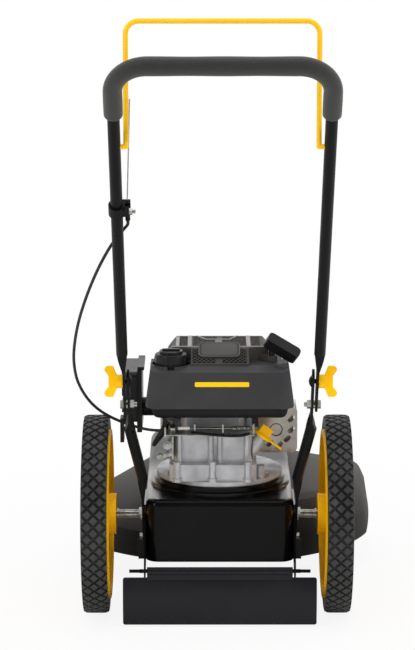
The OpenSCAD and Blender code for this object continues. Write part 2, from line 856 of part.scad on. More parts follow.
module crankcase() {
    mid = (case_rear + case_front) / 2;
    depth = case_front - case_rear;
    color(alloy) on_engine() difference() {
        union() {
            translate([case_mid, mid - 10, case_z]) linear_extrude(case_step)
                round_rect(case_w + 2 * case_foot, depth + 18, 12);
            translate([case_mid, mid, case_z]) linear_extrude(case_h) round_rect(case_w, depth, 10);
            translate([case_mid, mid + 14, case_top]) linear_extrude(housing_z - case_top)
                round_rect(case_w - 28, depth - 42, 14);
            case_bosses();
        }
        for (a = flange_angles) rotate(a) translate([flange_pcd / 2, 0, case_z - past])
            cylinder(d = bolt_scallop, h = case_step + past);
        translate([0, 0, case_z - past]) cylinder(d = 92, h = case_h - 16);
        translate([0, 0, case_z]) cylinder(d = crank_d + 2 * run_fit, h = engine_top);
        on_filler() translate([0, 0, -66]) cylinder(d = 8, h = 66);
    }
}

// Bolt pillars and ribs cast on the rear face of the crankcase
module case_bosses() {
    for (x = [-76, -13, 50]) translate([x, case_rear - 19, case_z]) {
        cylinder(d = 18, h = 6);
        cylinder(d = 13, h = case_step + 6);
    }
    for (x = [-72, -16, 0, 48]) translate([x, case_rear - 3, case_z + case_step - past])
        cylinder(d = 10, h = case_h - case_step);
    translate([72, -72, case_z]) cylinder(d = 17, h = 22);
}

module engine_cylinder() {
    color(alloy) on_engine() {
        translate([-cylinder_w / 2 + 12, case_front, cylinder_z])
            cube([cylinder_w - 24, cylinder_front - case_front, cylinder_h - 6]);
        for (y = [case_front + fin_gap:fin_gap:cylinder_front - fin_t])
            translate([-cylinder_w / 2, y, cylinder_z - 5]) cube([cylinder_w, fin_t, cylinder_h]);
        translate([muffler_x, intake_y + 6, muffler_z + muffler_h / 2]) x_cylinder(-40, 40, 34);
        translate([intake_x, intake_y, intake_z]) x_cylinder(0, 40, 26);
    }
}

module valve_cover() {
    color(alloy) on_engine() translate([0, cylinder_front, cylinder_z + cylinder_h / 2 - 4]) rotate([-90, 0, 0])
        round_block(cylinder_w - 12, cylinder_h - 18, 14, 0, 24, 6);
}

// The spark plug's seat on the valve cover, with its axis along Z
module on_plug() {
    on_engine() translate([26, cylinder_front + 24, cylinder_z + 62]) rotate([-90, 0, 0]) children();
}

module spark_plug() {
    color(zinc) on_plug() {
        cylinder(d = 21, h = 9, $fn = 6);
        cylinder(d = plug_d, h = 30);
    }
}

module plug_boot() {
    color(rubber) on_plug() difference() {
        translate([0, 0, 10]) cylinder(d = 19, h = 30);
        translate([0, 0, 10 - past]) cylinder(d = plug_d + 2 * snug, h = 20 + past + snug);
    }
}

// Rectangle standing on Y = 0, with its upper and lower corners rounded
module ended_rect(w, h, r_hi, r_lo) {
    translate([-w / 2 + r_lo, 0]) square([w - 2 * r_lo, h / 2]);
    translate([-w / 2 + r_hi, h / 2]) square([w - 2 * r_hi, h / 2]);
    translate([-w / 2, r_lo]) square([w, h - r_lo - r_hi]);
    for (s = [-1, 1]) {
        translate([s * (w / 2 - r_lo), r_lo]) circle(r_lo);
        translate([s * (w / 2 - r_hi), h - r_hi]) circle(r_hi);
    }
}

// Block with round corners seen from above and round upper and lower edges
module pillow(w, d, corner, z_lo, z_hi, r_hi, r_lo) {
    h = z_hi - z_lo;
    intersection() {
        translate([0, 0, z_lo - past]) linear_extrude(h + 2 * past) round_rect(w, d, corner);
        translate([0, d / 2 + past, z_lo]) rotate([90, 0, 0]) linear_extrude(d + 2 * past)
            ended_rect(w, h, r_hi, r_lo);
        translate([-w / 2 - past, 0, z_lo]) rotate([90, 0, 90]) linear_extrude(w + 2 * past)
            ended_rect(d, h, r_hi, r_lo);
    }
}

// Tank body: upper part that narrows to a round top with a ramp at the rear, and a smaller lip below it
module tank_body(inset) {
    lip = tank_bottom + lip_h;
    lip_w = tank_w - 2 * lip_inset;
    lip_depth = tank_depth - 2 * lip_inset;
    difference() {
        translate([0, (tank_rear + tank_front) / 2, 0]) {
            intersection() {
                pillow(tank_w - 2 * inset, tank_depth - 2 * inset, tank_corner - inset, lip + inset,
                    tank_top - inset, tank_round - inset / 2, 2);
                tank_flanks(lip, inset);
            }
            pillow(lip_w - 2 * inset, lip_depth - 2 * inset, tank_corner - lip_inset - inset, tank_bottom + inset,
                lip + 20, 2, lip_round - inset);
        }
        yz_plate(-tank_w, 2 * tank_w) polygon([
            [tank_rear - ramp_run, tank_top - 2 * ramp_rise - inset], [tank_rear + ramp_run, tank_top - inset],
            [tank_rear + ramp_run, engine_top], [tank_rear - ramp_run, engine_top]]);
        translate([0, 0, tank_bottom - past]) cylinder(r = volute_r + snug + inset, h = volute_h + past + inset);
    }
}

// Leaning sides of the tank's upper part
module tank_flanks(z_lo, inset) {
    half = tank_w / 2 - inset;
    translate([0, tank_depth, 0]) rotate([90, 0, 0]) linear_extrude(2 * tank_depth) polygon([
        [-half, z_lo - past], [half, z_lo - past], [half, z_lo], [half - tank_taper, tank_top],
        [-half + tank_taper, tank_top], [-half, z_lo]]);
}

module fuel_tank() {
    color(grey) on_engine() difference() {
        union() {
            difference() {
                tank_body(0);
                tank_body(tank_wall);
            }
            translate([cap_x, cap_y, tank_top - cap_pocket - tank_wall])
                cylinder(d = cap_d + 10 + 2 * tank_wall, h = cap_pocket + tank_wall);
            translate([cap_x, cap_y, tank_top - cap_pocket - tank_wall]) cylinder(d = neck_d, h = tank_wall + 15);
            translate([outlet_x, -102, tank_bottom - 2]) cylinder(d = hose_d + 6, h = 8);
        }
        difference() {
            translate([cap_x, cap_y, tank_top - cap_pocket]) cylinder(d = cap_d + 10, h = cap_h);
            translate([cap_x, cap_y, tank_top - cap_pocket - past]) cylinder(d = neck_d, h = 15 + past);
        }
        translate([cap_x, cap_y, tank_top - 20]) cylinder(d = neck_d - 5, h = 40);
        translate([cap_x - 6, tank_rear - past, tank_top - cap_pocket]) cube([12, cap_y - tank_rear, cap_h]);
    }
}

module blower_housing() {
    r = housing_d / 2;
    h = cover_z - housing_z;
    hood_y = cylinder_front + 8;
    color(grey) on_engine() difference() {
        union() {
            difference() {
                translate([0, 0, housing_z]) rotate_extrude() polygon([[0, 0], [r, 0], [r, h - 26], [r - 6, h - 12],
                    [r - 22, h], [0, h]]);
                translate([-housing_d, tank_rear, 0]) cube([2 * housing_d, tank_depth, engine_top]);
            }
            translate([0, 0, housing_z]) cylinder(r = volute_r, h = tank_bottom + volute_h - snug - housing_z);
            translate([-cylinder_w / 2 - 6, 0, housing_z]) cube([cylinder_w + 12, hood_y, 62]);
        }
        translate([0, 0, housing_z + housing_wall]) {
            cylinder(r = volute_r - housing_wall, h = h - 2 * housing_wall);
            difference() {
                cylinder(r = r - housing_wall, h = h - 30);
                translate([-housing_d, tank_rear, -past]) cube([2 * housing_d, tank_depth + housing_wall, h]);
            }
        }
        translate([0, 0, housing_z - past]) cylinder(d = crank_d + 8, h = housing_wall + 2 * past);
        translate([0, 0, cover_z - 10]) cylinder(d = cover_hole, h = 20);
        translate([-cylinder_w / 2, volute_r - 20, housing_z - past])
            cube([cylinder_w, hood_y - volute_r + 16, 58]);
    }
}

module starter_cover() {
    reach = norm(rope_guide) - cover_hole / 2;
    color(grey) on_engine() {
        difference() {
            union() {
                translate([0, cover_y, cover_z]) cover_block();
                cover_hood();
            }
            translate([0, 0, cover_z - past]) cylinder(d = cover_hole, h = cover_h - cover_roof + past);
            cover_panels();
        }
        translate([0, 0, cover_z]) linear_extrude(10) difference() {
            union() {
                translate(rope_guide) circle(d = 20);
                rotate(atan2(rope_guide.y, rope_guide.x)) translate([cover_hole / 2 + 6, -8])
                    square([reach - 6, 16]);
            }
            translate(rope_guide) circle(d = rope_d + past);
        }
    }
}

// Flat-topped block with round corners and leaning sides
module cover_block() {
    intersection() {
        linear_extrude(cover_h) round_rect(cover_w, cover_depth, cover_corner);
        translate([0, cover_depth, 0]) rotate([90, 0, 0]) linear_extrude(2 * cover_depth)
            leaning_sides(cover_w / 2);
        yz_plate(-cover_w, 2 * cover_w) leaning_sides(cover_depth / 2);
    }
}

// Section of the cover's leaning sides
module leaning_sides(half) {
    polygon([[-half, 0], [half, 0], [half, cover_side], [half - cover_slope, cover_h],
        [-half + cover_slope, cover_h], [-half, cover_side]]);
}

// Shallow panels in the cover's top, which a mesh closes
module cover_panels() {
    half = cover_w / 2 - cover_slope - panel_edge;
    wide = half - 3 * panel_edge - panel_side;
    for (x = [[-half, panel_side], [-half + panel_side + 2 * panel_edge, wide], [panel_edge, wide],
            [half - panel_side, panel_side]])
        translate([x[0], hood_crest[1] + 12, cover_z + cover_h - panel_deep])
            cube([x[1], cover_depth - 50, 2 * panel_deep]);
}

// Sloping hood that runs from the starter cover down over the tank
module cover_hood() {
    translate([-hood_w / 2, 0, 0]) rotate([90, 0, 90]) linear_extrude(hood_w) polygon([
        [hood_rear, cover_z], [hood_rear, cover_z + 2], [hood_crest[0], engine_top], [hood_crest[1], engine_top],
        [hood_crest[1] + 6, cover_z + cover_h - panel_deep], [hood_crest[1] + 6, cover_z]]);
}

module air_filter_base() {
    color(black) on_engine() {
        translate([filter_x - filter_base_t, filter_y + 8, filter_base_lo])
            cube([filter_base_t, filter_len - 16, filter_base_hi - filter_base_lo]);
        translate([filter_x - 8, filter_y + 16, filter_base_hi]) cube([12, filter_len - 32, filter_strip_h]);
        translate([filter_x - past, intake_y, intake_z]) x_cylinder(0, intake_x - 28 - filter_x + past, 34);
    }
}

module air_filter_cover() {
    face = filter_x - filter_base_t - filter_t;
    color(black) on_engine() {
        translate([face, filter_y + filter_len / 2, filter_mid]) rotate([0, 90, 0])
            linear_extrude(filter_t) round_rect(filter_h, filter_len, filter_corner);
        for (z = filter_ribs) translate([face - 3, filter_y + 12, z]) cube([4, filter_len - 24, filter_rib_h]);
        translate([face - 6, filter_y + 2, filter_mid - filter_h + filter_corner]) cube([7, 30, 44]);
    }
}

module carburettor() {
    color(alloy) on_engine() difference() {
        union() {
            translate([intake_x - 28, intake_y - 13, intake_z - 22]) cube([28, 35, 42]);
            translate([intake_x - 14, intake_y, intake_z - 46]) cylinder(d = 36, h = 25);
            translate([intake_x - 19, intake_y - 30, intake_z - 30]) rotate([-90, 0, 0]) cylinder(d = 10, h = 16);
        }
        translate([intake_x - 40, intake_y, intake_z]) x_cylinder(0, 60, 18);
    }
}

module muffler() {
    color(zinc) on_engine() translate([muffler_mid, muffler_y, muffler_z + muffler_h / 2]) rotate([-90, 0, 0]) {
        linear_extrude(muffler_d) round_rect(muffler_w - muffler_gap, muffler_h - muffler_gap, 14);
        translate([0, 0, -16]) cylinder(d = 20, h = 16);
    }
}

module muffler_guard() {
    t = 1.5;
    y = muffler_y - guard_off;
    mid_z = muffler_z + muffler_h / 2;
    color(alloy) on_engine() difference() {
        union() {
            translate([muffler_x + muffler_w / 2, y + t, mid_z]) rotate([90, 0, 0])
                linear_extrude(t) round_rect(muffler_w, muffler_h, 10);
            translate([muffler_x + muffler_w - t, y, muffler_z + 10])
                cube([t, muffler_d + guard_off, muffler_h - 20]);
            for (z = [-1, 1]) translate([muffler_mid, y, mid_z + z * 28]) rotate([-90, 0, 0])
                cylinder(d = 8, h = guard_off);
        }
        translate([muffler_mid, y - past, mid_z]) rotate([-90, 0, 0]) cylinder(d = 24, h = t + 2 * past);
        for (p = guard_slots) translate([muffler_x + p.x, y + 2 * t, muffler_z + p.y]) rotate([90, 40, 0])
            linear_extrude(4 * t) round_rect(8, 15, 3.9);
    }
}

// Frame of the oil filler, which leans out to the right of the crankcase
module on_filler() {
    translate([oil_x, oil_y, oil_z]) rotate(oil_axis) children();
}

module oil_filler_tube() {
    color(alloy) on_engine() difference() {
        on_filler() translate([0, 0, -46]) cylinder(d = 24, h = 46);
        on_filler() translate([0, 0, -60]) cylinder(d = 15, h = 80);
        translate([case_right - case_w, oil_y - 20, case_z]) cube([case_w, 40, 2 * case_h]);
    }
}

module dipstick() {
    color(yellow) on_engine() on_filler() {
        translate([0, 0, loose]) cylinder(d = 36, h = 4);
        translate([-11, -5, 4]) cube([22, 10, 16]);
        translate([10, -5, loose]) cube([32, 10, 2.5]);
        translate([0, 0, -14]) cylinder(d = 14, h = 15);
        translate([0, 0, -60]) cylinder(d = 4, h = 50);
    }
}

module fuel_hose() {
    color(rubber) swept_tube(smooth_route(hose_route), hose_d, 10);
}

module control_bracket() {
    post_h = spring_z - case_top;
    color(zinc) on_engine() {
        translate([tab_x, spring_y - 8, case_top]) cube([120, 42, 2]);
        translate([tab_x, spring_y - 8, case_top]) cube([spring_x + spring_len + 3 - tab_x, 20, 2]);
        for (x = [-46, 4, spring_x + spring_len]) translate([x, spring_y - 5, case_top]) difference() {
            cube([3, 10, post_h + 8]);
            if (x < spring_x) translate([-past, 5, post_h]) x_cylinder(0, 6, link_d + 2 * snug);
        }
        translate([tab_x, spring_y - 20, case_top]) difference() {
            cube([3, 16, 18]);
            translate([-past, 8, cable_post]) x_cylinder(0, 6, wire_d + 2 * snug);
        }
    }
}

// Points along the governor spring: straight ends and a steady helix between them
spring_r = (spring_d - spring_wire) / 2;
spring_lead = 2 * spring_wire;
spring_rings = spring_curls * 8;
function spring_point(i) = let (a = 45 * i, x = spring_lead + (spring_len - 2 * spring_lead) * i / spring_rings)
    [x, spring_r * cos(a), spring_r * sin(a)];
spring_path = concat([[0, spring_r, -spring_wire]], [for (i = [0:spring_rings]) spring_point(i)],
    [[spring_len, spring_r, spring_wire]]);
spring_gap = min([for (i = [8:spring_rings]) norm(spring_point(i) - spring_point(i - 8))]) - spring_wire;
echo(governor_spring_gap = spring_gap);

module governor_spring() {
    color(zinc) on_engine() translate([spring_x, spring_y, spring_z]) swept_tube(spring_path, spring_wire, 6);
}

module governor_link() {
    color(zinc) on_engine() translate([0, spring_y, spring_z]) {
        x_cylinder(link_x, spring_x - link_x - 4, link_d);
        x_cylinder(spring_x - 6, 6, spring_d);
    }
}

// Belt drive and head

// Belt made of an arc round each pulley and two straight runs that touch both
module drive_belt() {
    run = head_ahead - engine_ahead;
    r_engine = engine_pulley_d / 2;
    r_spindle = spindle_pulley_d / 2;
    lean = asin((r_spindle - r_engine) / run);
    color(rubber) on_engine() translate([0, 0, belt_h - belt_w / 2]) {
        rotate(180 + lean) belt_arc(r_engine, 180 - 2 * lean);
        translate([0, run, 0]) rotate(-lean) belt_arc(r_spindle, 180 + 2 * lean);
        both_sides() rotate(-lean) translate([r_engine - belt_t / 2, -belt_lap, 0])
            cube([belt_t, run * cos(lean) + 2 * belt_lap, belt_w]);
    }
}

// Part of the belt that lies on a pulley
module belt_arc(r, sweep) {
    rotate_extrude(angle = sweep) translate([r - belt_t / 2, 0]) square([belt_t, belt_w]);
}

// Pulley with two flanges and a groove that the belt runs in
module pulley(pitch_d, bore_d) {
    floor_r = pitch_d / 2 - belt_t / 2 - belt_clear;
    rim_r = pitch_d / 2 + belt_t / 2;
    half = belt_w / 2 + loose;
    translate([0, 0, belt_h]) rotate_extrude() polygon([
        [bore_d / 2, -pulley_w / 2], [rim_r, -pulley_w / 2], [rim_r, -half], [floor_r, -half], [floor_r, half],
        [rim_r, half], [rim_r, pulley_w / 2], [bore_d / 2, pulley_w / 2]]);
}

module engine_pulley() {
    color(zinc) on_engine() pulley(engine_pulley_d, crank_d + 2 * snug);
}

module crankshaft() {
    color(zinc) on_engine() {
        translate([0, 0, belt_h - pulley_w / 2 - 4]) cylinder(d = crank_d, h = housing_z + 62 - belt_h);
        for (z = [case_z + 8, case_z + 34]) translate([0, 0, z]) cylinder(d = 84, h = 12);
    }
}

module flywheel() {
    z = housing_z + 20;
    color(alloy) on_engine() difference() {
        union() {
            translate([0, 0, z]) cylinder(d = 160, h = 12);
            for (a = [0:30:330]) rotate(a) translate([48, -1.5, z + 11]) cube([30, 3, 22]);
        }
        translate([0, 0, z - past]) cylinder(d = crank_d + 2 * snug, h = 40);
    }
}

module spindle_pulley() {
    color(zinc) on_head() pulley(spindle_pulley_d, spindle_d + 2 * snug);
}

module spindle_shaft() {
    color(zinc) on_head() {
        translate([0, 0, cup_h - 26]) cylinder(d = spindle_d, h = spindle_top - cup_h + 26);
        translate([0, 0, barrel_lo - 4 - loose]) cylinder(d = spindle_d + 8, h = 4);
    }
}

module trimmer_head() {
    color(black) on_head() difference() {
        translate([0, 0, head_z]) rotate_extrude() polygon([[0, 0], [head_d / 2 - 8, 0], [head_d / 2, 6],
            [head_d / 2, 22], [head_d / 2 - 10, 30], [head_d / 2 - 26, head_h], [0, head_h]]);
        translate([0, 0, head_z - past]) cylinder(d = spindle_d + 2 * snug, h = head_h + 2 * past);
        for (a = [45:90:315]) rotate(a) translate([20, 0, line_z]) x_cylinder(0, head_d, line_d + 2 * snug);
    }
}

module trimmer_lines() {
    color([0.85, 0.35, 0.05]) on_head() for (a = [45:90:315]) rotate(a) translate([0, 0, line_z])
        x_cylinder(24, line_reach - 24, line_d);
}

module glide_cup() {
    r = cup_d / 2;
    color(black) on_head() difference() {
        rotate_extrude() polygon([[0, 0], [r - 26, 0], [r - 10, 7], [r, 22], [r, cup_h], [r - 4, cup_h],
            [r - 4, 23], [r - 13, 10], [r - 27, cup_wall], [18, cup_wall], [18, cup_h], [0, cup_h]]);
        translate([0, 0, cup_h - 27]) cylinder(d = spindle_d + 2 * run_fit, h = cup_h);
    }
}

// Handle

// Bar bent into a U: two legs from y_lo, two bends and a cross bar
module bent_bar(half_w, y_lo, y_top, bend, d) {
    for (s = [-1, 1]) bar([s * half_w, y_lo, 0], [s * half_w, y_top - bend, 0], d);
    both_sides() translate([half_w - bend, y_top - bend, 0]) rotate_extrude(angle = 90)
        translate([bend, 0]) circle(d = d);
    bar([-half_w + bend, y_top, 0], [half_w - bend, y_top, 0], d);
}

module upper_handle() {
    tube_start = upper_flat_top + upper_blend;
    color(black) on_handle() difference() {
        union() {
            both_sides() {
                yz_plate(upper_flat_x, flat_t) {
                    translate([0, -flat_w / 2]) square([upper_flat_top + past, flat_w]);
                    circle(d = flat_w);
                }
                flat_to_tube(upper_flat_top, upper_flat_x, tube_start, leg_x);
            }
            bent_bar(leg_x, tube_start - tube_lap, grip_reach, bend_r, tube_d);
        }
        bent_bar(leg_x, tube_start, grip_reach, bend_r, tube_d - 2 * tube_wall);
        both_sides() {
            x_cylinder(0, deck_w, bolt_d + 2 * run_fit);
            translate([0, lock_reach, 0]) x_cylinder(0, deck_w, bolt_d + 2 * snug);
            translate([0, bail_pivot, 0]) x_cylinder(0, leg_x, bail_d + 2 * run_fit);
        }
    }
}

module grip() {
    color(rubber) on_handle() difference() {
        bent_bar(leg_x, grip_reach - bend_r - grip_leg, grip_reach, bend_r, grip_d);
        bent_bar(leg_x, grip_reach - bend_r - grip_leg - past, grip_reach, bend_r, tube_d + 2 * snug);
    }
}

module cable_bracket() {
    tube_x = -leg_x;
    color(black) on_handle() difference() {
        union() {
            translate([tube_x, bracket_reach, 0]) rotate([-90, 0, 0])
                cylinder(d = tube_d + 2 * clip_t, h = bracket_len);
            translate([tube_x, bracket_reach, ferrule_z - 4]) cube([ferrule_x - tube_x + 5, bracket_len, 8]);
            translate([tube_x + tube_r - 2, bracket_reach + 3, 0]) cube([12, bracket_len - 6, 10]);
            bar([ferrule_x, ferrule_lo, ferrule_z], [ferrule_x, ferrule_hi, ferrule_z], ferrule_d);
        }
        translate([tube_x, bracket_reach - past, 0]) rotate([-90, 0, 0])
            cylinder(d = tube_d + 2 * snug, h = bracket_len + 2 * past);
    }
}

module bracket_bolt() {
    x = -leg_x + tube_r + 10;
    color(zinc) on_handle() translate([0, bracket_reach + bracket_len / 2, 5]) {
        x_hex(x, 5, 11);
        x_cylinder(x, 10, 6);
    }
}

module lock_bolts() {
    color(black) on_handle() both_sides() translate([0, lock_reach, 0]) {
        x_cylinder(lower_flat_x - loose, bolt_end - lower_flat_x + loose, bolt_d);
        translate([lower_flat_x - loose, 0, 0]) rotate([0, -90, 0]) intersection() {
            translate([0, 0, -8]) sphere(r = 13);
            cylinder(d = 21, h = head_t);
        }
    }
}

module bail() {
    color(yellow) on_bail() difference() {
        union() {
            bent_bar(bail_leg_x, 0, bail_reach, bail_bend, bail_d);
            both_sides() {
                translate([bail_leg_x, 0, 0]) sphere(d = bail_d);
                x_cylinder(bail_leg_x, leg_x - bail_leg_x - 2, bail_d);
            }
            yz_plate(-bail_leg_x + bail_d / 2 - tab_t, tab_t) {
                translate([8, -tab_w + 5]) square([tab_len - 8 - tab_w / 2, tab_w]);
                translate([tab_len - tab_w / 2, -tab_w / 2 + 5]) circle(d = tab_w);
            }
        }
        translate([-bail_leg_x, tab_hole, -tab_w / 2 + 5]) x_cylinder(0, 20, 3);
    }
}

// Ends of the pull wire, in the handle's plane
wire_top = [-bail_leg_x + bail_d / 2 + wire_d / 2 + 2 * loose,
    bail_pivot + tab_hole * cos(bail_open) - 2 * sin(bail_open), -tab_hole * sin(bail_open) - 2 * cos(bail_open)];
wire_low = [ferrule_x, ferrule_hi + loose, ferrule_z];

module bail_wire() {
    color(zinc) on_handle() bar(wire_low, wire_top, wire_d);
}

module control_cable() {
    color(rubber) swept_tube(smooth_route(cable_route), cable_d, 8);
}

// Wing knob on the right lock bolt, drawn in the handle's plane
module knob() {
    half = knob_span / 2;
    root = knob_boss_d / 2;
    translate([0, lock_reach, 0]) rotate([-knob_turn, 0, 0]) difference() {
        union() {
            x_cylinder(knob_start, knob_boss_len + 1, knob_boss_d);
            translate([knob_start, 0, -knob_t / 2]) linear_extrude(knob_t) {
                polygon([[knob_boss_len, -root], [knob_boss_len + 6, -half], [knob_tip_x, -half],
                    [knob_tip_x + 4, -half + 11], [knob_waist_x, -9], [knob_waist_x, 9],
                    [knob_tip_x + 4, half - 11], [knob_tip_x, half], [knob_boss_len + 6, half], [knob_boss_len, root]]);
                for (s = [-1, 1]) translate([knob_tip_x, s * (half - knob_tip_d / 2)]) circle(d = knob_tip_d);
            }
        }
        x_cylinder(0, bolt_end + loose, bolt_d + 2 * run_fit);
    }
}

module left_knob() {
    color(yellow) on_handle() mirror([1, 0, 0]) knob();
}

module right_knob() {
    color(yellow) on_handle() knob();
}

// Wheels

// Section of the tyre: a square band with round outer corners
module tyre_section() {
    r_in = rim_d / 2;
    r_out = wheel_d / 2;
    translate([r_in, -tyre_w / 2]) square([r_out - tyre_corner - r_in, tyre_w]);
    translate([r_in, -tyre_w / 2 + tyre_corner]) square([r_out - r_in, tyre_w - 2 * tyre_corner]);
    for (s = [-1, 1]) translate([r_out - tyre_corner, s * (tyre_w / 2 - tyre_corner)]) circle(tyre_corner);
}

module tyre(side) {
    color(rubber) on_wheel(side) rotate_extrude() tyre_section();
}

module rim(side) {
    r_out = rim_d / 2 - snug;
    color(yellow) on_wheel(side) difference() {
        union() {
            rotate_extrude() translate([r_out - rim_band, -rim_w / 2])
                square([rim_band, (rim_w + tyre_w) / 2 + rim_lip]);
            translate([0, 0, -disc_t / 2]) cylinder(r = r_out - 1, h = disc_t);
            translate([0, 0, -hub_out]) cylinder(d = hub_d, h = hub_out + hub_reach);
            for (i = [0:rim_windows - 1]) rotate(360 * (i + 0.5) / rim_windows)
                translate([0, -rib_t / 2, -rim_w / 2 + 8]) cube([r_out - 2, rib_t, rim_w - 16]);
        }
        for (i = [0:rim_windows - 1]) rotate(360 * i / rim_windows)
            translate([(hub_d / 2 + r_out - rim_band) / 2, 0, -rim_w]) cylinder(d = window_d, h = 2 * rim_w);
        translate([0, 0, -hub_out - past]) cylinder(d = axle_d + 2 * run_fit, h = hub_out + hub_reach + 2 * past);
    }
}

module left_tyre() {
    tyre(-1);
}

module right_tyre() {
    tyre(1);
}

module left_rim() {
    rim(-1);
}

module right_rim() {
    rim(1);
}

// Rear flap, with a sleeve on the rod between the side plates and a bowed sheet below it
module rear_flap() {
    neck = deck_w - 2 * loose - 4;
    sleeve_d = rod_d + 7;
    drop = rod_h - flap_low;
    sheet_top = plate_tail + 2;
    bow = 190;
    sag = 1.6;
    color(black) on_deck() translate([0, -rod_behind, rod_h]) difference() {
        union() {
            x_cylinder(-neck / 2, neck, sleeve_d);
            translate([-neck / 2, -flap_t / 2, -16]) cube([neck, flap_t, 16]);
            translate([-flap_w / 2, 0, 0]) intersection() {
                translate([0, bow - sag, -drop / 2 - 6]) x_cylinder(0, flap_w, 2 * bow + flap_t);
                translate([flap_w / 2, 30, -(drop + sheet_top) / 2]) rotate([90, 0, 0]) linear_extrude(60)
                    round_rect(flap_w, drop - sheet_top, flap_t);
                difference() {
                    translate([0, -40, -drop - 1]) cube([flap_w, 80, drop]);
                    translate([-past, bow - sag, -drop / 2 - 6]) x_cylinder(0, flap_w + 2 * past, 2 * bow - flap_t);
                }
            }
        }
        x_cylinder(-flap_w, 2 * flap_w, rod_d + 2 * run_fit);
    }
}

// Small moving parts of the engine

module fuel_cap() {
    z = tank_top - cap_pocket + 1;
    color(black) on_engine() translate([cap_x, cap_y, z]) difference() {
        union() {
            round_drum(cap_d / 2, 0, cap_h - 5, 3);
            translate([0, 0, cap_h - 6]) cylinder(d = cap_d - 16, h = 6);
            for (a = [0:30:330]) rotate(a) translate([cap_d / 2 - 2, 0, 2]) cylinder(d = 6, h = cap_h - 12);
        }
        translate([0, 0, -past]) cylinder(d = neck_d + 2 * run_fit, h = 16 + past);
    }
}

starter_tilt = 31;
starter_z = engine_top + 1.5;
rope_d = 4;

// Pull handle: a tilted bar on a short neck that rests over the rope guide
module starter_handle() {
    color(black) on_engine() difference() {
        union() {
            translate([rope_guide.x + 18, rope_guide.y - 6, starter_z]) rotate([0, starter_tilt, 0])
                rotate([32, 0, 0]) linear_extrude(20, center = true) round_rect(64, 24, 8);
            on_rope(10 + loose) cylinder(d = 11, h = 22);
        }
        on_rope(0) cylinder(d = rope_d + past, h = 22);
    }
}

// Places something on the rope's line, above the starter cover
module on_rope(z) {
    translate([rope_guide.x, rope_guide.y, cover_z + z]) children();
}

module starter_rope() {
    color(rubber) on_engine() on_rope(2) cylinder(d = rope_d, h = 18);
}

// Lever that the cable swings, on a post of the control bracket
module brake_lever() {
    color(zinc) on_engine() translate([lever_x, lever_y, case_top + 2 + snug]) difference() {
        union() {
            cylinder(d = 14, h = cable_post + 1);
            translate([-lever_w / 2, -24, cable_post - 2]) cube([lever_w, 24, 3]);
        }
        translate([0, 0, -past]) cylinder(d = 6, h = cable_post + 3);
    }
}

in_row() deck();
in_row() left_guard();
in_row() right_guard();
in_row() side_plates();
in_row() lower_handles();
in_row() axles();
in_row() flap_rod();
in_row() spindle_bridge();
in_row() spindle_housing();
in_row() spindle_bearings();
in_row() deck_bolts();
in_row() pivot_bolts();
in_row() sump_flange();
in_row() crankcase();
in_row() engine_cylinder();
in_row() valve_cover();
in_row() spark_plug();
in_row() plug_boot();
in_row() fuel_tank();
in_row() blower_housing();
in_row() starter_cover();
in_row() air_filter_base();
in_row() air_filter_cover();
in_row() carburettor();
in_row() muffler();
in_row() muffler_guard();
in_row() oil_filler_tube();
in_row() fuel_hose();
in_row() control_bracket();
in_row() governor_spring();
in_row() governor_link();
in_row() drive_belt();
in_row() control_cable();
in_row() upper_handle();
in_row() grip();
in_row() cable_bracket();
in_row() bracket_bolt();
in_row() lock_bolts();
in_row() bail_wire();
in_row() bail();
in_row() left_knob();
in_row() right_knob();
in_row() left_tyre();
in_row() left_rim();
in_row() right_tyre();
in_row() right_rim();
in_row() rear_flap();
in_row() crankshaft();
in_row() flywheel();
in_row() engine_pulley();
in_row() spindle_shaft();
in_row() spindle_pulley();
in_row() trimmer_head();
in_row() trimmer_lines();
in_row() glide_cup();
in_row() fuel_cap();
in_row() dipstick();
in_row() starter_handle();
in_row() starter_rope();
in_row() brake_lever();
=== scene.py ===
"""Looks of the wheeled string trimmer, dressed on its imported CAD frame.

Places are in millimetres in the axle frame: X to the right, Y forward and Z up, with the wheel axle over
Y = 0 and the ground at Z = 0. place() turns them into the metres of the row frame.
"""

import math

import bpy
import numpy as np
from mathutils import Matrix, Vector


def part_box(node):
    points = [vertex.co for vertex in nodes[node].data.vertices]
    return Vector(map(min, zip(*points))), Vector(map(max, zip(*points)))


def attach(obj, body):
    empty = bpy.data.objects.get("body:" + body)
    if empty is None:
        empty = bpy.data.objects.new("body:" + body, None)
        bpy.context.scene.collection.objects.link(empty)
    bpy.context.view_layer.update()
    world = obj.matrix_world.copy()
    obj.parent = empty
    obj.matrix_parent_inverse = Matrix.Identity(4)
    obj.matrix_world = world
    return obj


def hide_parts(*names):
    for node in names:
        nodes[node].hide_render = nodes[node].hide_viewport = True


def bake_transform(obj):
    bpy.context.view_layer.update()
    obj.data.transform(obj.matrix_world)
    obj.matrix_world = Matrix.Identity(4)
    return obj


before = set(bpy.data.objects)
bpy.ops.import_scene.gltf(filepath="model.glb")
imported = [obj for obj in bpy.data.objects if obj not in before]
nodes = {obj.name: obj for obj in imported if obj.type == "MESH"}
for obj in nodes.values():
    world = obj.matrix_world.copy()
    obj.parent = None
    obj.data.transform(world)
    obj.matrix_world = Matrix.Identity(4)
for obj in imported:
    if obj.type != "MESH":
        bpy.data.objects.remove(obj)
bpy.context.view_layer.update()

# Sizes that repeat the part's own, in millimetres
DECK_OFFSET = 5.0
AXLE_H = 178.0
WHEEL_X = 215.5
TYRE_W = 46.0
RIM_R = 152.0
TREAD_DEPTH = 4.0
ENGINE = np.array([DECK_OFFSET, 50.0, 0.0])
HANDLE_SLOPE = math.radians(52)
PIVOT = np.array([DECK_OFFSET, -38 - (433 - AXLE_H) / math.tan(HANDLE_SLOPE), 433.0])
LEG_X = 164.0
GRIP_REACH = 785.0
GRIP_BEND = 52.0
GRIP_LEG = 49.0
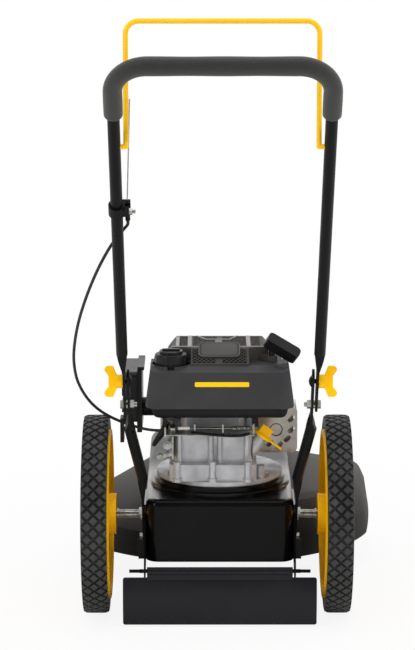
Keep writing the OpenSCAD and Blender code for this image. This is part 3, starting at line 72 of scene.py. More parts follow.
GRIP_R = 14.8
TANK_REAR = -90.0
COVER_TOP = 484.4

X_AXIS = np.array([1.0, 0.0, 0.0])
Y_AXIS = np.array([0.0, 1.0, 0.0])
Z_AXIS = np.array([0.0, 0.0, 1.0])


# Placing


def tyre_middle(node):
    """Middle of a tyre's box, in row-frame metres."""
    low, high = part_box(node)
    return np.array((low + high) / 2)


GROUND = (tyre_middle("left_tyre") + tyre_middle("right_tyre")) / 2 * (1, 1, 0)


def place(points):
    """Axle-frame millimetres as row-frame metres."""
    return np.asarray(points, float) / 1000 + GROUND


def on_handle(points):
    """Points of the handle's plane in the axle frame: across it, up it from the fold pivot, and behind it."""
    across, along, behind = np.moveaxis(np.asarray(points, float), -1, 0)
    cos, sin = math.cos(HANDLE_SLOPE), math.sin(HANDLE_SLOPE)
    return PIVOT + np.stack([across, -along * cos - behind * sin, along * sin - behind * cos], -1)


# Shapes: each is an array of points and a list of faces


def quads(rows, columns, loop):
    """Four-sided faces of a grid that closes round its columns, and round its rows where it is a loop."""
    row = np.arange(rows if loop else rows - 1)[:, None]
    column = np.arange(columns)[None, :]
    after = (column + 1) % columns
    above = (row + 1) % rows
    corners = [
        row * columns + column, row * columns + after,
        above * columns + after, above * columns + column]
    return np.stack(corners, -1).reshape(-1, 4).tolist()


def loft(rings, loop=False):
    """Closed rings of points, one above the other: neighbours joined, and ends capped unless it loops."""
    rings = np.asarray(rings, float)
    count, size = rings.shape[:2]
    faces = quads(count, size, loop)
    if not loop:
        last = (count - 1) * size
        faces += [list(range(size))[::-1], list(range(last, last + size))]
    return rings.reshape(-1, 3), faces


def copies(sets, faces):
    """The same faces on each of several equal sets of points."""
    size = sets.shape[1]
    every = [[i + k * size for i in face] for k in range(len(sets)) for face in faces]
    return sets.reshape(-1, 3), every


def joined(*shapes):
    """Several shapes as one, each one's faces counted on from the points before it."""
    points, faces, start = [], [], 0
    for shape_points, shape_faces in shapes:
        points.append(shape_points)
        faces += [[i + start for i in face] for face in shape_faces]
        start += len(shape_points)
    return np.concatenate(points), faces


def smooth_path(points, steps):
    """Cubic curve through the points, whose slope at each is half the step between its two neighbours."""
    p = np.asarray(points, float)
    p = np.concatenate([2 * p[:1] - p[1:2], p, 2 * p[-1:] - p[-2:-1]])
    t = np.linspace(0, 1, steps, endpoint=False)[None, :, None]
    a, b, c, d = (p[i : len(p) - 3 + i][:, None] for i in range(4))
    curve = b + t * (c - a) / 2 + t**2 * (a - 2.5 * b + 2 * c - d / 2) + t**3 * (1.5 * (b - c) + (d - a) / 2)
    return np.concatenate([curve.reshape(-1, 3), p[-2:-1]])


def tube(path, radius, sides=16):
    """Circle carried along a path: its two cross vectors turn as little as they can at each point."""
    path = np.asarray(path, float)
    along = np.gradient(path, axis=0)
    along /= np.linalg.norm(along, axis=1, keepdims=True)
    across = np.empty_like(along)
    side = np.array([0.31, 0.17, 0.93])
    for i, direction in enumerate(along):
        side = side - direction * (side @ direction)
        side /= np.linalg.norm(side)
        across[i] = side
    turn = np.linspace(0, 2 * np.pi, sides, endpoint=False)[None, :, None]
    circle = np.cos(turn) * across[:, None] + np.sin(turn) * np.cross(along, across)[:, None]
    return loft(path[:, None] + np.broadcast_to(radius, len(path))[:, None, None] * circle)


def turned(profile, centre, axis, sides=48, loop=False):
    """Profile of (radius, height) points turned round an axis through centre."""
    axis = np.asarray(axis, float) / np.linalg.norm(axis)
    first = np.cross(axis, X_AXIS if abs(axis[0]) < 0.9 else Y_AXIS)
    first /= np.linalg.norm(first)
    second = np.cross(axis, first)
    radius, height = np.asarray(profile, float).T
    turn = np.linspace(0, 2 * np.pi, sides, endpoint=False)[None, :, None]
    circle = np.cos(turn) * first + np.sin(turn) * second
    return loft(centre + radius[:, None, None] * circle + height[:, None, None] * axis, loop)


def rounded_rectangle(width, height, corner, steps=6):
    """Outline of a rectangle whose corners are quarter circles, anticlockwise round its middle."""
    turn = np.linspace(0, np.pi / 2, steps)
    quarter = np.arange(4)[:, None] * np.pi / 2
    x_sign, y_sign = np.array([1, -1, -1, 1])[:, None], np.array([1, 1, -1, -1])[:, None]
    x = x_sign * (width / 2 - corner) + corner * np.cos(turn + quarter)
    y = y_sign * (height / 2 - corner) + corner * np.sin(turn + quarter)
    return np.stack([x.ravel(), y.ravel()], -1)


def inset(outline, depth):
    """Outline moved inwards, each point along the mean of its two edges' normals."""
    edge = np.roll(outline, -1, 0) - outline
    edge /= np.linalg.norm(edge, axis=1, keepdims=True) + 1e-9
    inwards = np.stack([-edge[:, 1], edge[:, 0]], -1)
    inwards = inwards + np.roll(inwards, 1, 0)
    return outline + depth * inwards / (np.linalg.norm(inwards, axis=1, keepdims=True) + 1e-9)


def slab(outline, thickness, edge, origin, right, up, sink=0.5):
    """Plate of a flat outline on a plane, with a rim that rounds off over edge in height and width."""
    right, up = (np.asarray(v, float) / np.linalg.norm(v) for v in (right, up))
    turn = np.linspace(0, np.pi / 2, 5)
    heights = np.concatenate([[-sink], thickness - edge + edge * np.sin(turn)])
    depths = np.concatenate([[0], edge * (1 - np.cos(turn))])
    rings = [
        np.asarray(origin, float) + ring[:, :1] * right + ring[:, 1:] * up + height * np.cross(right, up)
        for ring, height in ((inset(outline, depth), height) for depth, height in zip(depths, heights))
    ]
    return loft(rings)


def bars(starts, ends, width, height, normal):
    """Thin square-edged bars from each start to its end, lying on a surface with that normal."""
    starts, ends = np.asarray(starts, float), np.asarray(ends, float)
    along = ends - starts
    along /= np.linalg.norm(along, axis=1, keepdims=True)
    side = np.cross(along, normal) * width / 2
    up = np.asarray(normal, float) * height
    rings = [[end + side, end + side + up, end - side + up, end - side] for end in (starts, ends)]
    sets = np.stack([np.stack(ring, 1) for ring in rings], 1).reshape(len(starts), 8, 3)
    return copies(sets, [[0, 1, 5, 4], [1, 2, 6, 5], [2, 3, 7, 6], [3, 0, 4, 7], [3, 2, 1, 0], [4, 5, 6, 7]])


def lattice(corners, pitch):
    """Ends of two families of crossing diagonals, each clipped to a convex flat region by its corners."""
    corners = np.asarray(corners, float)
    starts, ends = [], []
    for direction in (np.array([1.0, 1.0]), np.array([1.0, -1.0])):
        direction = direction / np.sqrt(2)
        across = np.array([-direction[1], direction[0]])
        offsets = np.arange(np.ceil((corners @ across).min() / pitch) + 0.5, (corners @ across).max() / pitch)
        low = np.full(len(offsets), -np.inf)
        high = np.full(len(offsets), np.inf)
        base = offsets[:, None] * pitch * across
        for a, b in zip(corners, np.roll(corners, -1, 0)):
            inwards = np.array([a[1] - b[1], b[0] - a[0]])
            rate = direction @ inwards
            reach = ((a - base) @ inwards) / (rate if abs(rate) > 1e-9 else 1e-9)
            low = np.maximum(low, reach) if rate > 0 else low
            high = np.minimum(high, reach) if rate < 0 else high
        kept = high - low > pitch * 0.3
        starts.append((base + low[:, None] * direction)[kept])
        ends.append((base + high[:, None] * direction)[kept])
    return np.concatenate(starts), np.concatenate(ends)


# Finishes


def srgb(red, green, blue):
    """Screen colour, 0 to 255, as the linear colour that a shader takes."""
    screen = np.array([red, green, blue]) / 255
    linear = np.where(screen < 0.04045, screen / 12.92, ((screen + 0.055) / 1.055) ** 2.4)
    return (*linear.tolist(), 1.0)


class Socket:
    """A shader's output in a Python expression: each operator adds one Math node."""

    def __init__(self, look, socket):
        self.look = look
        self.socket = socket

    def math(self, operation, first, second):
        return self.look.node("ShaderNodeMath", {"operation": operation}, {0: first, 1: second})

    def __add__(self, other):
        return self.math("ADD", self, other)

    def __sub__(self, other):
        return self.math("SUBTRACT", self, other)

    def __rsub__(self, other):
        return self.math("SUBTRACT", other, self)

    def __mul__(self, other):
        return self.math("MULTIPLY", self, other)

    __radd__ = __add__
    __rmul__ = __mul__


class Look:
    """A node tree with one shader, and the patterns that feed it."""

    def __init__(self, name, owner=None):
        self.owner = owner or bpy.data.materials.new(name)
        self.owner.use_nodes = True
        self.tree = self.owner.node_tree
        self.shader = self.tree.nodes.get("Principled BSDF")

    def node(self, kind, settings=None, inputs=None, output=0):
        made = self.tree.nodes.new(kind)
        for name, value in (settings or {}).items():
            setattr(made, name, value)
        for name, value in (inputs or {}).items():
            self.feed(made.inputs[name], value)
        return Socket(self, made.outputs[output])

    def feed(self, socket, value):
        if isinstance(value, Socket):
            self.tree.links.new(value.socket, socket)
        else:
            socket.default_value = value

    def set(self, **inputs):
        for name, value in inputs.items():
            self.feed(self.shader.inputs[SOCKET_NAMES[name]], value)
        return self.owner

    def where(self, stretch=(1, 1, 1)):
        """Object coordinates, stretched along the axes."""
        place_out = self.node("ShaderNodeTexCoord", output="Object")
        return self.node("ShaderNodeMapping", inputs={"Vector": place_out, "Scale": stretch})

    def noise(self, scale, detail=2.0, stretch=(1, 1, 1)):
        inputs = {"Vector": self.where(stretch), "Scale": scale, "Detail": detail}
        return self.node("ShaderNodeTexNoise", inputs=inputs)

    def cells(self, scale):
        return self.node("ShaderNodeTexVoronoi", inputs={"Vector": self.where(), "Scale": scale})

    def span(self, value, low, high, first, second):
        """Value carried from low..high to first..second, and held at the ends."""
        return self.node("ShaderNodeMapRange", inputs={0: value, 1: low, 2: high, 3: first, 4: second})

    def mix(self, factor, first, second):
        return self.node("ShaderNodeMix", {"data_type": "RGBA"}, {0: factor, 6: first, 7: second}, 2)

    def bump(self, height, strength, distance):
        inputs = {"Strength": strength, "Distance": distance, "Height": height}
        return self.node("ShaderNodeBump", inputs=inputs)


SOCKET_NAMES = {
    "colour": "Base Color", "roughness": "Roughness", "metallic": "Metallic", "normal": "Normal",
    "coat": "Coat Weight", "coat_roughness": "Coat Roughness", "coat_ior": "Coat IOR",
    "specular": "Specular IOR Level", "sheen": "Sheen Weight", "sheen_roughness": "Sheen Roughness",
}


def painted(name, colour, tint, roughness, peel, shine):
    """Sprayed paint: a faint orange-peel ripple, and thin dust that dulls it in patches."""
    look = Look(name)
    dust = look.noise(9, 4)
    ripple = look.noise(330, 1)
    return look.set(
        colour=look.mix(look.span(dust, 0.45, 0.75, 0, 1), colour, tint),
        roughness=look.span(dust, 0.35, 0.7, roughness * 0.8, roughness * 1.35),
        normal=look.bump(ripple, peel, 0.0002),
        specular=shine,
    )


def moulded(name, colour, tint, roughness, grain, depth, shine=0.2):
    """Moulded plastic: a leathery grain of small cells and slow changes of shade and gloss."""
    look = Look(name)
    shade = look.noise(16, 3)
    skin = look.noise(grain, 3) + 0.5 * look.cells(grain * 0.8)
    return look.set(
        colour=look.mix(look.span(shade, 0.35, 0.7, 0, 1), colour, tint),
        roughness=look.span(shade, 0.3, 0.7, roughness * 0.88, roughness * 1.12),
        normal=look.bump(skin, depth, 0.0004),
        specular=shine,
    )


def cast(name, colour, tint, roughness):
    """Cast metal: a sandy skin, cloudy shade, and dull patches where the casting is rougher."""
    look = Look(name)
    cloud = look.noise(38, 5)
    sand = look.noise(1100, 2)
    return look.set(
        colour=look.mix(look.span(cloud, 0.3, 0.75, 0, 1), colour, tint),
        roughness=look.span(cloud, 0.3, 0.72, roughness * 0.8, roughness * 1.3),
        metallic=0.6,
        normal=look.bump(sand + cloud, 0.35, 0.0006),
    )


def plated(name, colour, tint, roughness):
    """Plated steel: fine drawn streaks, and a passivated tint that comes and goes."""
    look = Look(name)
    tarnish = look.noise(90, 3)
    streak = look.noise(900, 2, (0.12, 1, 1))
    return look.set(
        colour=look.mix(look.span(tarnish, 0.4, 0.68, 0, 1), colour, tint),
        roughness=look.span(tarnish + streak, 0.7, 1.3, roughness * 0.75, roughness * 1.3),
        metallic=1.0,
        normal=look.bump(streak, 0.1, 0.0002),
    )


def heated(name):
    """Heat-tinted sheet steel: straw and brown stains that grow towards the bottom."""
    look = Look(name)
    height = look.node("ShaderNodeSeparateXYZ", inputs={0: look.where()}, output="Z")
    stain = look.noise(28, 4) + look.span(height, 0.27, 0.33, 0.35, -0.2)
    return look.set(
        colour=look.mix(look.span(stain, 0.45, 0.85, 0, 1), srgb(186, 182, 174), srgb(128, 100, 72)),
        roughness=look.span(stain, 0.4, 0.8, 0.34, 0.5),
        metallic=0.9,
        normal=look.bump(look.noise(600, 2), 0.12, 0.0003),
    )


def rubbery(name, colour, tint, roughness):
    """Rubber: matt, with a fine pitted skin and a grey bloom."""
    look = Look(name)
    bloom = look.noise(24, 4)
    return look.set(
        colour=look.mix(look.span(bloom, 0.4, 0.72, 0, 1), colour, tint),
        roughness=look.span(bloom, 0.3, 0.7, roughness * 0.9, roughness * 1.1),
        normal=look.bump(look.noise(1500, 3), 0.25, 0.0003),
        specular=0.35,
    )


def foamed(name):
    """Foam sleeve: a soft skin of open pores."""
    look = Look(name)
    pores = look.cells(1000)
    return look.set(
        colour=look.mix(look.span(pores, 0.1, 0.45, 0, 1), srgb(13, 13, 13), srgb(38, 37, 36)),
        roughness=0.6,
        normal=look.bump(pores + look.noise(240, 2), 0.6, 0.0006),
        sheen=0.25,
        sheen_roughness=0.5,
        specular=0.4,
    )


TUBE_PAINT = painted("tube_paint", srgb(13, 13, 14), srgb(20, 19, 19), 0.34, 0.12, 0.1)
BAIL_PAINT = painted("bail_paint", srgb(255, 200, 2), srgb(246, 186, 2), 0.36, 0.1, 0.3)
COVER_PLASTIC = moulded("cover_plastic", srgb(58, 55, 52), srgb(66, 63, 59), 0.5, 1000, 0.25)
# Pale plastic of the cover's ribs, also used for a painted highlight along the hood's crest.
RIB_AND_HIGHLIGHT_PLASTIC = moulded("rib_and_highlight_plastic", srgb(148, 145, 138), srgb(160, 156, 149), 0.45, 900, 0.15)
# Near-black sheet under the vent and mesh bars: painted shade for the dark openings behind them.
VENT_HOLE_SHADE = moulded("vent_hole_shade", srgb(11, 10, 10), srgb(16, 15, 14), 0.7, 800, 0.3, 0.05)
MID_RIB = moulded("mid_rib", srgb(104, 101, 97), srgb(114, 110, 106), 0.5, 900, 0.15)
FRAME_PLASTIC = moulded("frame_plastic", srgb(50, 48, 46), srgb(58, 56, 53), 0.45, 1000, 0.2)
PALE_PLASTIC = moulded("pale_plastic", srgb(214, 212, 204), srgb(198, 195, 186), 0.45, 900, 0.1)
BLACK_PLASTIC = moulded("black_plastic", srgb(19, 19, 20), srgb(27, 26, 26), 0.33, 1000, 0.15, 0.25)
YELLOW_PLASTIC = moulded("yellow_plastic", srgb(255, 198, 0), srgb(252, 188, 0), 0.4, 900, 0.08, 0.15)
PLATE_FINISH = moulded("plate_finish", srgb(72, 70, 68), srgb(80, 78, 75), 0.4, 700, 0.05)
STRIPE_FINISH = moulded("stripe_finish", srgb(255, 206, 8), srgb(252, 198, 6), 0.35, 700, 0.04)
CAST_ALLOY = cast("cast_alloy", srgb(204, 204, 207), srgb(172, 172, 175), 0.4)
ZINC = plated("zinc_plate", srgb(176, 178, 176), srgb(150, 145, 130), 0.3)
HEAT_STEEL = heated("heat_steel")
BLOCK_RUBBER = rubbery("block_rubber", srgb(47, 47, 47), srgb(62, 62, 62), 0.55)
# Carcass rubber: a darker copy of the blocks' rubber, as painted shade in the grooves between the blocks; the
# tyre walls share it.
SHADED_CARCASS_RUBBER = rubbery("shaded_carcass_rubber", srgb(26, 26, 26), srgb(36, 36, 36), 0.45)
HOSE_RUBBER = rubbery("hose_rubber", srgb(18, 18, 18), srgb(28, 27, 26), 0.45)
FLAP_VINYL = painted("flap_vinyl", srgb(22, 22, 27), srgb(29, 29, 34), 0.36, 0.06, 0.26)
FOAM = foamed("foam")
LINE_NYLON = moulded("line_nylon", srgb(226, 110, 20), srgb(214, 96, 16), 0.4, 700, 0.05)


def tank_plastic():
    """Moulded tank: satin dark grey, with a painted shade that makes it nearly black under the seam of the lip.
    """
    finish = moulded("tank_plastic", srgb(56, 55, 57), srgb(63, 62, 63), 0.46, 1200, 0.22, 0.15)
    look = Look("tank_plastic", finish)
    height = look.node("ShaderNodeSeparateXYZ", inputs={0: look.where()}, output="Z")
    body = Socket(look, look.shader.inputs["Base Color"].links[0].from_socket)
    # Painted shade: nearly black under the lip's seam, where the lip shades the tank.
    painted_lip_shade = look.span(height, LIP_TOP - 0.0005, LIP_TOP, 1, 0)
    return look.set(colour=look.mix(painted_lip_shade, body, srgb(30, 30, 31)))


def deck_paint():
    """Black gloss paint, and a clear coat along both sides of the deck's top that thins to the front."""
    finish = painted("deck_paint", srgb(9, 9, 9), srgb(15, 14, 14), 0.22, 0.18, 0.12)
    look = Look("deck_paint", finish)
    where = look.where()
    across, along, height = (
        look.node("ShaderNodeSeparateXYZ", inputs={0: where}, output=axis) for axis in ("X", "Y", "Z"))
    aside = look.node("ShaderNodeMath", {"operation": "ABSOLUTE"}, {0: across - FLAT_MIDDLE})
    sides = look.span(aside, FLAT_SIDE, FLAT_SIDE + FLAT_EDGE, 0, 1)
    top = look.span(height, FLAT_LOW - 0.002, FLAT_LOW, 0, 1)
    rear = look.span(along, FLAT_REAR, FLAT_REAR + FLAT_EDGE, 0, 1)
    front = look.span(along, FLAT_FRONT, FLAT_FRONT + FLAT_FADE, 1, 0)
    return look.set(coat=sides * top * rear * front, coat_ior=1.8, coat_roughness=0.3)


def guard_plastic():
    """Moulded guard: dark grey on its roof, and a painted shade that darkens it down its walls."""
    finish = moulded("guard_plastic", srgb(76, 73, 70), srgb(84, 81, 77), 0.55, 900, 0.3, 0.15)
    look = Look("guard_plastic", finish)
    height = look.node("ShaderNodeSeparateXYZ", inputs={0: look.where()}, output="Z")
    roof = Socket(look, look.shader.inputs["Base Color"].links[0].from_socket)
    # Painted shade: the roof's grey fades to near black down the walls.
    return look.set(colour=look.mix(look.span(height, WALL_SHADE_LOW, WALL_SHADE_HIGH, 1, 0), roof, srgb(36, 34, 33)))


# Places, in row-frame metres, where a finish changes or a painted shade begins
LIP_TOP = 0.3895
# Heights over which the guards' painted wall shade fades in
WALL_SHADE_LOW, WALL_SHADE_HIGH = 0.09, 0.16
FLAT_MIDDLE = float(place([DECK_OFFSET, 0, 0])[0])
FLAT_SIDE = 0.103
FLAT_FRONT = float(place([0, 130, 0])[1])
FLAT_REAR = float(place([0, -84, 0])[1])
FLAT_LOW = 0.2
FLAT_EDGE = 0.006
FLAT_FADE = 0.09
TANK_PLASTIC = tank_plastic()
GUARD_PLASTIC = guard_plastic()
DECK_PAINT = deck_paint()

NODE_FINISHES = {
    DECK_PAINT: ["deck", "side_plates", "spindle_bridge", "flap_rod"],
    TUBE_PAINT: ["lower_handles", "upper_handle", "cable_bracket", "lock_bolts"],
    GUARD_PLASTIC: ["left_guard", "right_guard"],
    TANK_PLASTIC: ["fuel_tank"],
    COVER_PLASTIC: ["blower_housing", "starter_cover"],
    BLACK_PLASTIC: [
        "fuel_cap", "air_filter_base", "air_filter_cover", "starter_handle", "trimmer_head", "glide_cup"],
    ZINC: [
        "axles", "deck_bolts", "pivot_bolts", "bracket_bolt", "control_bracket", "governor_link",
        "brake_lever", "spark_plug", "crankshaft", "spindle_shaft", "spindle_bearings", "engine_pulley",
        "spindle_pulley"],
    CAST_ALLOY: [
        "sump_flange", "crankcase", "engine_cylinder", "valve_cover", "carburettor", "oil_filler_tube",
        "flywheel", "spindle_housing"],
    HEAT_STEEL: ["muffler", "muffler_guard"],
    YELLOW_PLASTIC: ["left_rim", "right_rim", "left_knob", "right_knob", "dipstick"],
    BAIL_PAINT: ["bail"],
    HOSE_RUBBER: ["plug_boot", "drive_belt"],
    FLAP_VINYL: ["rear_flap"],
    LINE_NYLON: ["trimmer_lines"],
}
for finish, names in NODE_FINISHES.items():
    for name in names:
        nodes[name].data.materials.clear()
        nodes[name].data.materials.append(finish)


def add(name, shape, finish, body=None, replaces=(), sharp=35):
    """One new piece from a shape, smooth except where its faces meet at more than sharp degrees."""
    points, faces = shape
    mesh = bpy.data.meshes.new(name)
    mesh.from_pydata(place(points).tolist(), [], faces)
    mesh.polygons.foreach_set("use_smooth", np.ones(len(faces), bool))
    mesh.set_sharp_from_angle(angle=math.radians(sharp))
    mesh.materials.append(finish)
    piece = bpy.data.objects.new(name, mesh)
    bpy.context.scene.collection.objects.link(piece)
    if body:
        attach(piece, body)
    if replaces:
        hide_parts(*replaces)
    return piece


# Cords and wires

CABLE_R = 2.5
cable_points = np.concatenate([
    on_handle([
        [-147.5, 447.6, -8], [-148, 436, -9], [-155, 420, -13], [-164, 400, -16], [-177, 378, -15],
        [-198, 330, -10]]),
    [
        [-214, -392, 646], [-231, -340, 588], [-240, -293, 532], [-239, -255, 489], [-232, -226, 459],
        [-220, -195, 431], [-205, -165, 408], [-188, -138, 390], [-168, -112, 374], [-148, -92, 362],
        [-130, -77, 353], [-112, -68, 348], [-94, -66, 347]],
])
cable_path = smooth_path(cable_points, 8)
cable = add(
    "control_cable_conduit", tube(cable_path, CABLE_R, 20), HOSE_RUBBER,
    replaces=["control_cable"])
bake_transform(cable)

HOSE_R = 4.0
hose_path = smooth_path([
    [-92, -52, 366.6], [-92, -52, 358], [-95, -50, 347], [-103, -46, 332], [-110, -38, 318], [-112, -20, 311],
    [-108, 5, 310], [-101, 30, 313], [-94, 55, 318], [-90, 72, 320], [-90, 83.6, 320]], 8)
hose = add(
    "fuel_hose_rubber", tube(hose_path, HOSE_R, 24), HOSE_RUBBER, "frame", ["fuel_hose"])

WIRE_R = 1.0
wire_ends = on_handle([[-147.5, 490.4, -8], [-140.7, 673.5, -45.9]])
wire_path = np.linspace(wire_ends[0], wire_ends[1], 40)
wire = add("bail_pull_wire", tube(wire_path, WIRE_R, 12), ZINC, replaces=["bail_wire"])
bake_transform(wire)

ROPE_R = 2.0
rope_low = ENGINE + [92, -76, 466.4]
rope_path = np.linspace(rope_low, rope_low + [0, 0, 18], 60)
rope = add(
    "starter_rope_cord", tube(rope_path, ROPE_R, 14), HOSE_RUBBER,
    replaces=["starter_rope"])
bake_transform(rope)

SPRING_START = np.array([28.0, -104.0, 348.0])
SPRING_R = 4.3
SPRING_WIRE_R = 0.85
SPRING_CURLS = 9
SPRING_LENGTH = 30.0
SPRING_TAIL = 2.2
SPRING_HOOK = 1.1
spring_turn = np.linspace(0, 2 * np.pi * SPRING_CURLS, SPRING_CURLS * 24)
spring_coil = np.stack([
    np.linspace(SPRING_TAIL, SPRING_LENGTH - SPRING_TAIL, len(spring_turn)),
    SPRING_R * np.cos(spring_turn), SPRING_R * np.sin(spring_turn)], -1)
spring_path = ENGINE + SPRING_START + np.concatenate([
    [[0, SPRING_R, -SPRING_HOOK]], spring_coil, [[SPRING_LENGTH, SPRING_R, SPRING_HOOK]]])
add("governor_spring_coil", tube(spring_path, SPRING_WIRE_R, 10), ZINC, "frame", ["governor_spring"])


# Handle grip

END_DROP = 2.2
END_RUN = 2.6
SWELL = 0.25
SWELL_RUN = 17
arc = np.linspace(0, np.pi / 2, 24)[:, None]
corner = np.array([LEG_X - GRIP_BEND, GRIP_REACH - GRIP_BEND, 0])
right_bend = corner + GRIP_BEND * np.concatenate([np.cos(arc), np.sin(arc), 0 * arc], 1)
left_bend = (right_bend * [-1, 1, 1])[::-1]
leg_end = GRIP_REACH - GRIP_BEND - GRIP_LEG
right_leg = np.linspace([LEG_X, leg_end, 0], right_bend[0], 40, endpoint=False)
left_leg = (right_leg * [-1, 1, 1])[::-1]
cross_bar = np.linspace(right_bend[-1], left_bend[0], 180)[1:-1]
grip_path = on_handle(np.concatenate([right_leg, right_bend, cross_bar, left_bend, left_leg]))
grip_along = np.concatenate([[0], np.cumsum(np.linalg.norm(np.diff(grip_path, axis=0), axis=1))])
end_gap = np.minimum(grip_along, grip_along[-1] - grip_along)
end_round = END_DROP * np.clip(1 - end_gap / END_RUN, 0, 1) ** 2
grip_radius = GRIP_R - end_round + SWELL * (np.sin(grip_along / SWELL_RUN) - 1)
grip = add("foam_grip", tube(grip_path, grip_radius, 48), FOAM, "upper_handle", ["grip"])


# Tyres

BLOCK_ROWS = 51
BLOCK_HALF = 8.0
TREAD_R = AXLE_H - TREAD_DEPTH
SHOULDER_DROP = 3.2
SHOULDER_START = 16
SHOULDER_RUN = 7


def tread_drop(across):
    """How far the tread falls away towards the shoulders: nothing over the middle, then a square law."""
    return SHOULDER_DROP * np.clip((np.abs(across) - SHOULDER_START) / SHOULDER_RUN, 0, None) ** 2


def tyre(side):
    """Carcass turned round the axle, and diamond blocks in staggered rows, with half diamonds at the shoulders.

    A point of the tread has an arc length round the tyre and a distance across it, and stands off the
    carcass by its height.
    """
    across = np.linspace(-TYRE_W / 2 + 0.5, TYRE_W / 2 - 0.5, 25)
    crown = np.stack([TREAD_R - tread_drop(across), across], -1)
    wall = np.array([[RIM_R, 20.5], [154, 22], [157, 22.6], [158.5, 21.8], [161, 22.4], [166, 22.9]])
    profile = np.concatenate([wall * [1, -1], crown, wall[::-1]])
    middle = np.array([side * WHEEL_X, 0, AXLE_H])
    carcass = turned(profile, middle, X_AXIS, sides=160, loop=True)

    half = BLOCK_HALF
    diamond = np.array([[half, 0], [0, half], [-half, 0], [0, -half]])
    outer_half = np.array([[half, 0], [-half, 0], [0, -half]])
    inner_half = np.array([[half, 0], [0, half], [-half, 0]])
    pitch = 2 * np.pi * AXLE_H / BLOCK_ROWS
    even = np.arange(BLOCK_ROWS) * pitch
    odd = even + pitch / 2
    blocks = []
    for outline, starts, shift in (
        (diamond, even, 0), (diamond, odd, -pitch / 2), (diamond, odd, pitch / 2),
        (outer_half, even, TYRE_W / 2 - 0.7), (inner_half, even, -TYRE_W / 2 + 0.7),
    ):
        scale = np.array([1.08, 1.0, 0.9])[:, None, None]
        height = np.array([-1.0, TREAD_DEPTH - 0.9, TREAD_DEPTH])[:, None]
        ring = outline * scale + outline.mean(0) * (1 - scale)
        arc_length = starts[:, None, None] + ring[None, :, :, 0]
        over = np.clip(ring[None, :, :, 1] + shift, -TYRE_W / 2 + 0.3, TYRE_W / 2 - 0.3)
        radius = TREAD_R - tread_drop(over) + height[None]
        angle = arc_length / AXLE_H
        over = np.broadcast_to(over, angle.shape)
        points = middle + np.stack([over, radius * np.cos(angle), radius * np.sin(angle)], -1)
        blocks.append(copies(points.reshape(len(starts), -1, 3), loft(points[0])[1]))
    return carcass, joined(*blocks)


for wheel, side in (("left", -1), ("right", 1)):
    carcass, blocks = tyre(side)
    # The carcass takes the darker rubber: painted shade in the grooves.
    add(f"{wheel}_tyre_carcass", carcass, SHADED_CARCASS_RUBBER, f"{wheel}_wheel", [f"{wheel}_tyre"])
    add(f"{wheel}_tyre_blocks", blocks, BLOCK_RUBBER, f"{wheel}_wheel")


# Starter cover, its hood over the tank, and the bare plates

HOOD_FOOT = np.array([-64.6, 466.6])
HOOD_CREST = np.array([-24.3, 487.4])
HOOD_END = -8.0
HOOD_BASE = 463.0
HOOD_HALF = 51.4
LEDGE_HALF = 86.0
LEDGE_RUN = 11.0


def hood():
    """Sections across X set along Y: a slope up from the tank, then a ledge that widens by a smooth step."""
    y = np.concatenate([
        np.linspace(HOOD_FOOT[0], HOOD_CREST[0], 12), np.linspace(HOOD_CREST[0] + 1, HOOD_END, 14)])
    rise = np.clip((y - HOOD_FOOT[0]) / (HOOD_CREST[0] - HOOD_FOOT[0]), 0, 1)
    top = HOOD_FOOT[1] + rise * (HOOD_CREST[1] - HOOD_FOOT[1])
    flare = np.clip((y - HOOD_CREST[0]) / LEDGE_RUN, 0, 1)
    half = HOOD_HALF + (LEDGE_HALF - HOOD_HALF) * flare**2 * (3 - 2 * flare)
    across = np.array([-1.02, -1, -0.985, -0.94, -0.5, 0, 0.5, 0.94, 0.985, 1, 1.02])
    share = np.array([0, 0.82, 0.95, 1, 1, 1, 1, 1, 0.95, 0.82, 0])
    x = DECK_OFFSET + half[:, None] * across
    z = HOOD_BASE + (top - HOOD_BASE)[:, None] * share
    return loft(np.stack([x, np.broadcast_to(y[:, None], x.shape), z], -1))


add("starter_hood", hood(), COVER_PLASTIC, "frame", sharp=30)

slope_run = np.array([0, *(HOOD_CREST - HOOD_FOOT)])
slope_up = slope_run / np.linalg.norm(slope_run)
slope_out = np.cross(X_AXIS, slope_up)
slope_foot = np.array([DECK_OFFSET, *HOOD_FOOT])
SLOPE_LENGTH = float(np.linalg.norm(slope_run))


def on_slope(flat, height):
    """Points of the hood's slope: across X from its middle, and up along it from its foot."""
    flat = np.asarray(flat, float)
    return slope_foot + flat[:, :1] * X_AXIS + flat[:, 1:] * slope_up + height * slope_out


FRAME_SIZE = (74, 41, 9)
FRAME_RISE = 4.2
EDGE_LOW, EDGE_HIGH = 3.6, 4.6
PLATE_SIZE = (64, 33, 7)
frame_line = rounded_rectangle(*FRAME_SIZE)
plate_middle = on_slope(np.array([[-1.0, 0.79 * SLOPE_LENGTH]]), 0)[0]
add("label_frame", slab(frame_line, FRAME_RISE, 1.5, plate_middle, X_AXIS, slope_up, 9), FRAME_PLASTIC, "frame")
outer_line, inner_line = (inset(frame_line, depth) for depth in (0.8, 1.8))
edge_rings = np.stack([
    plate_middle + ring[:, :1] * X_AXIS + ring[:, 1:] * slope_up + height * slope_out
    for ring, height in (
        (outer_line, EDGE_LOW), (outer_line, EDGE_HIGH), (inner_line, EDGE_HIGH), (inner_line, EDGE_LOW))])
add("label_edge", loft(edge_rings, True), MID_RIB, "frame")
plate_foot = plate_middle + FRAME_RISE * slope_out
add("label_plate", slab(rounded_rectangle(*PLATE_SIZE), 0.7, 0.4, plate_foot, X_AXIS, slope_up), PLATE_FINISH,
    "frame")

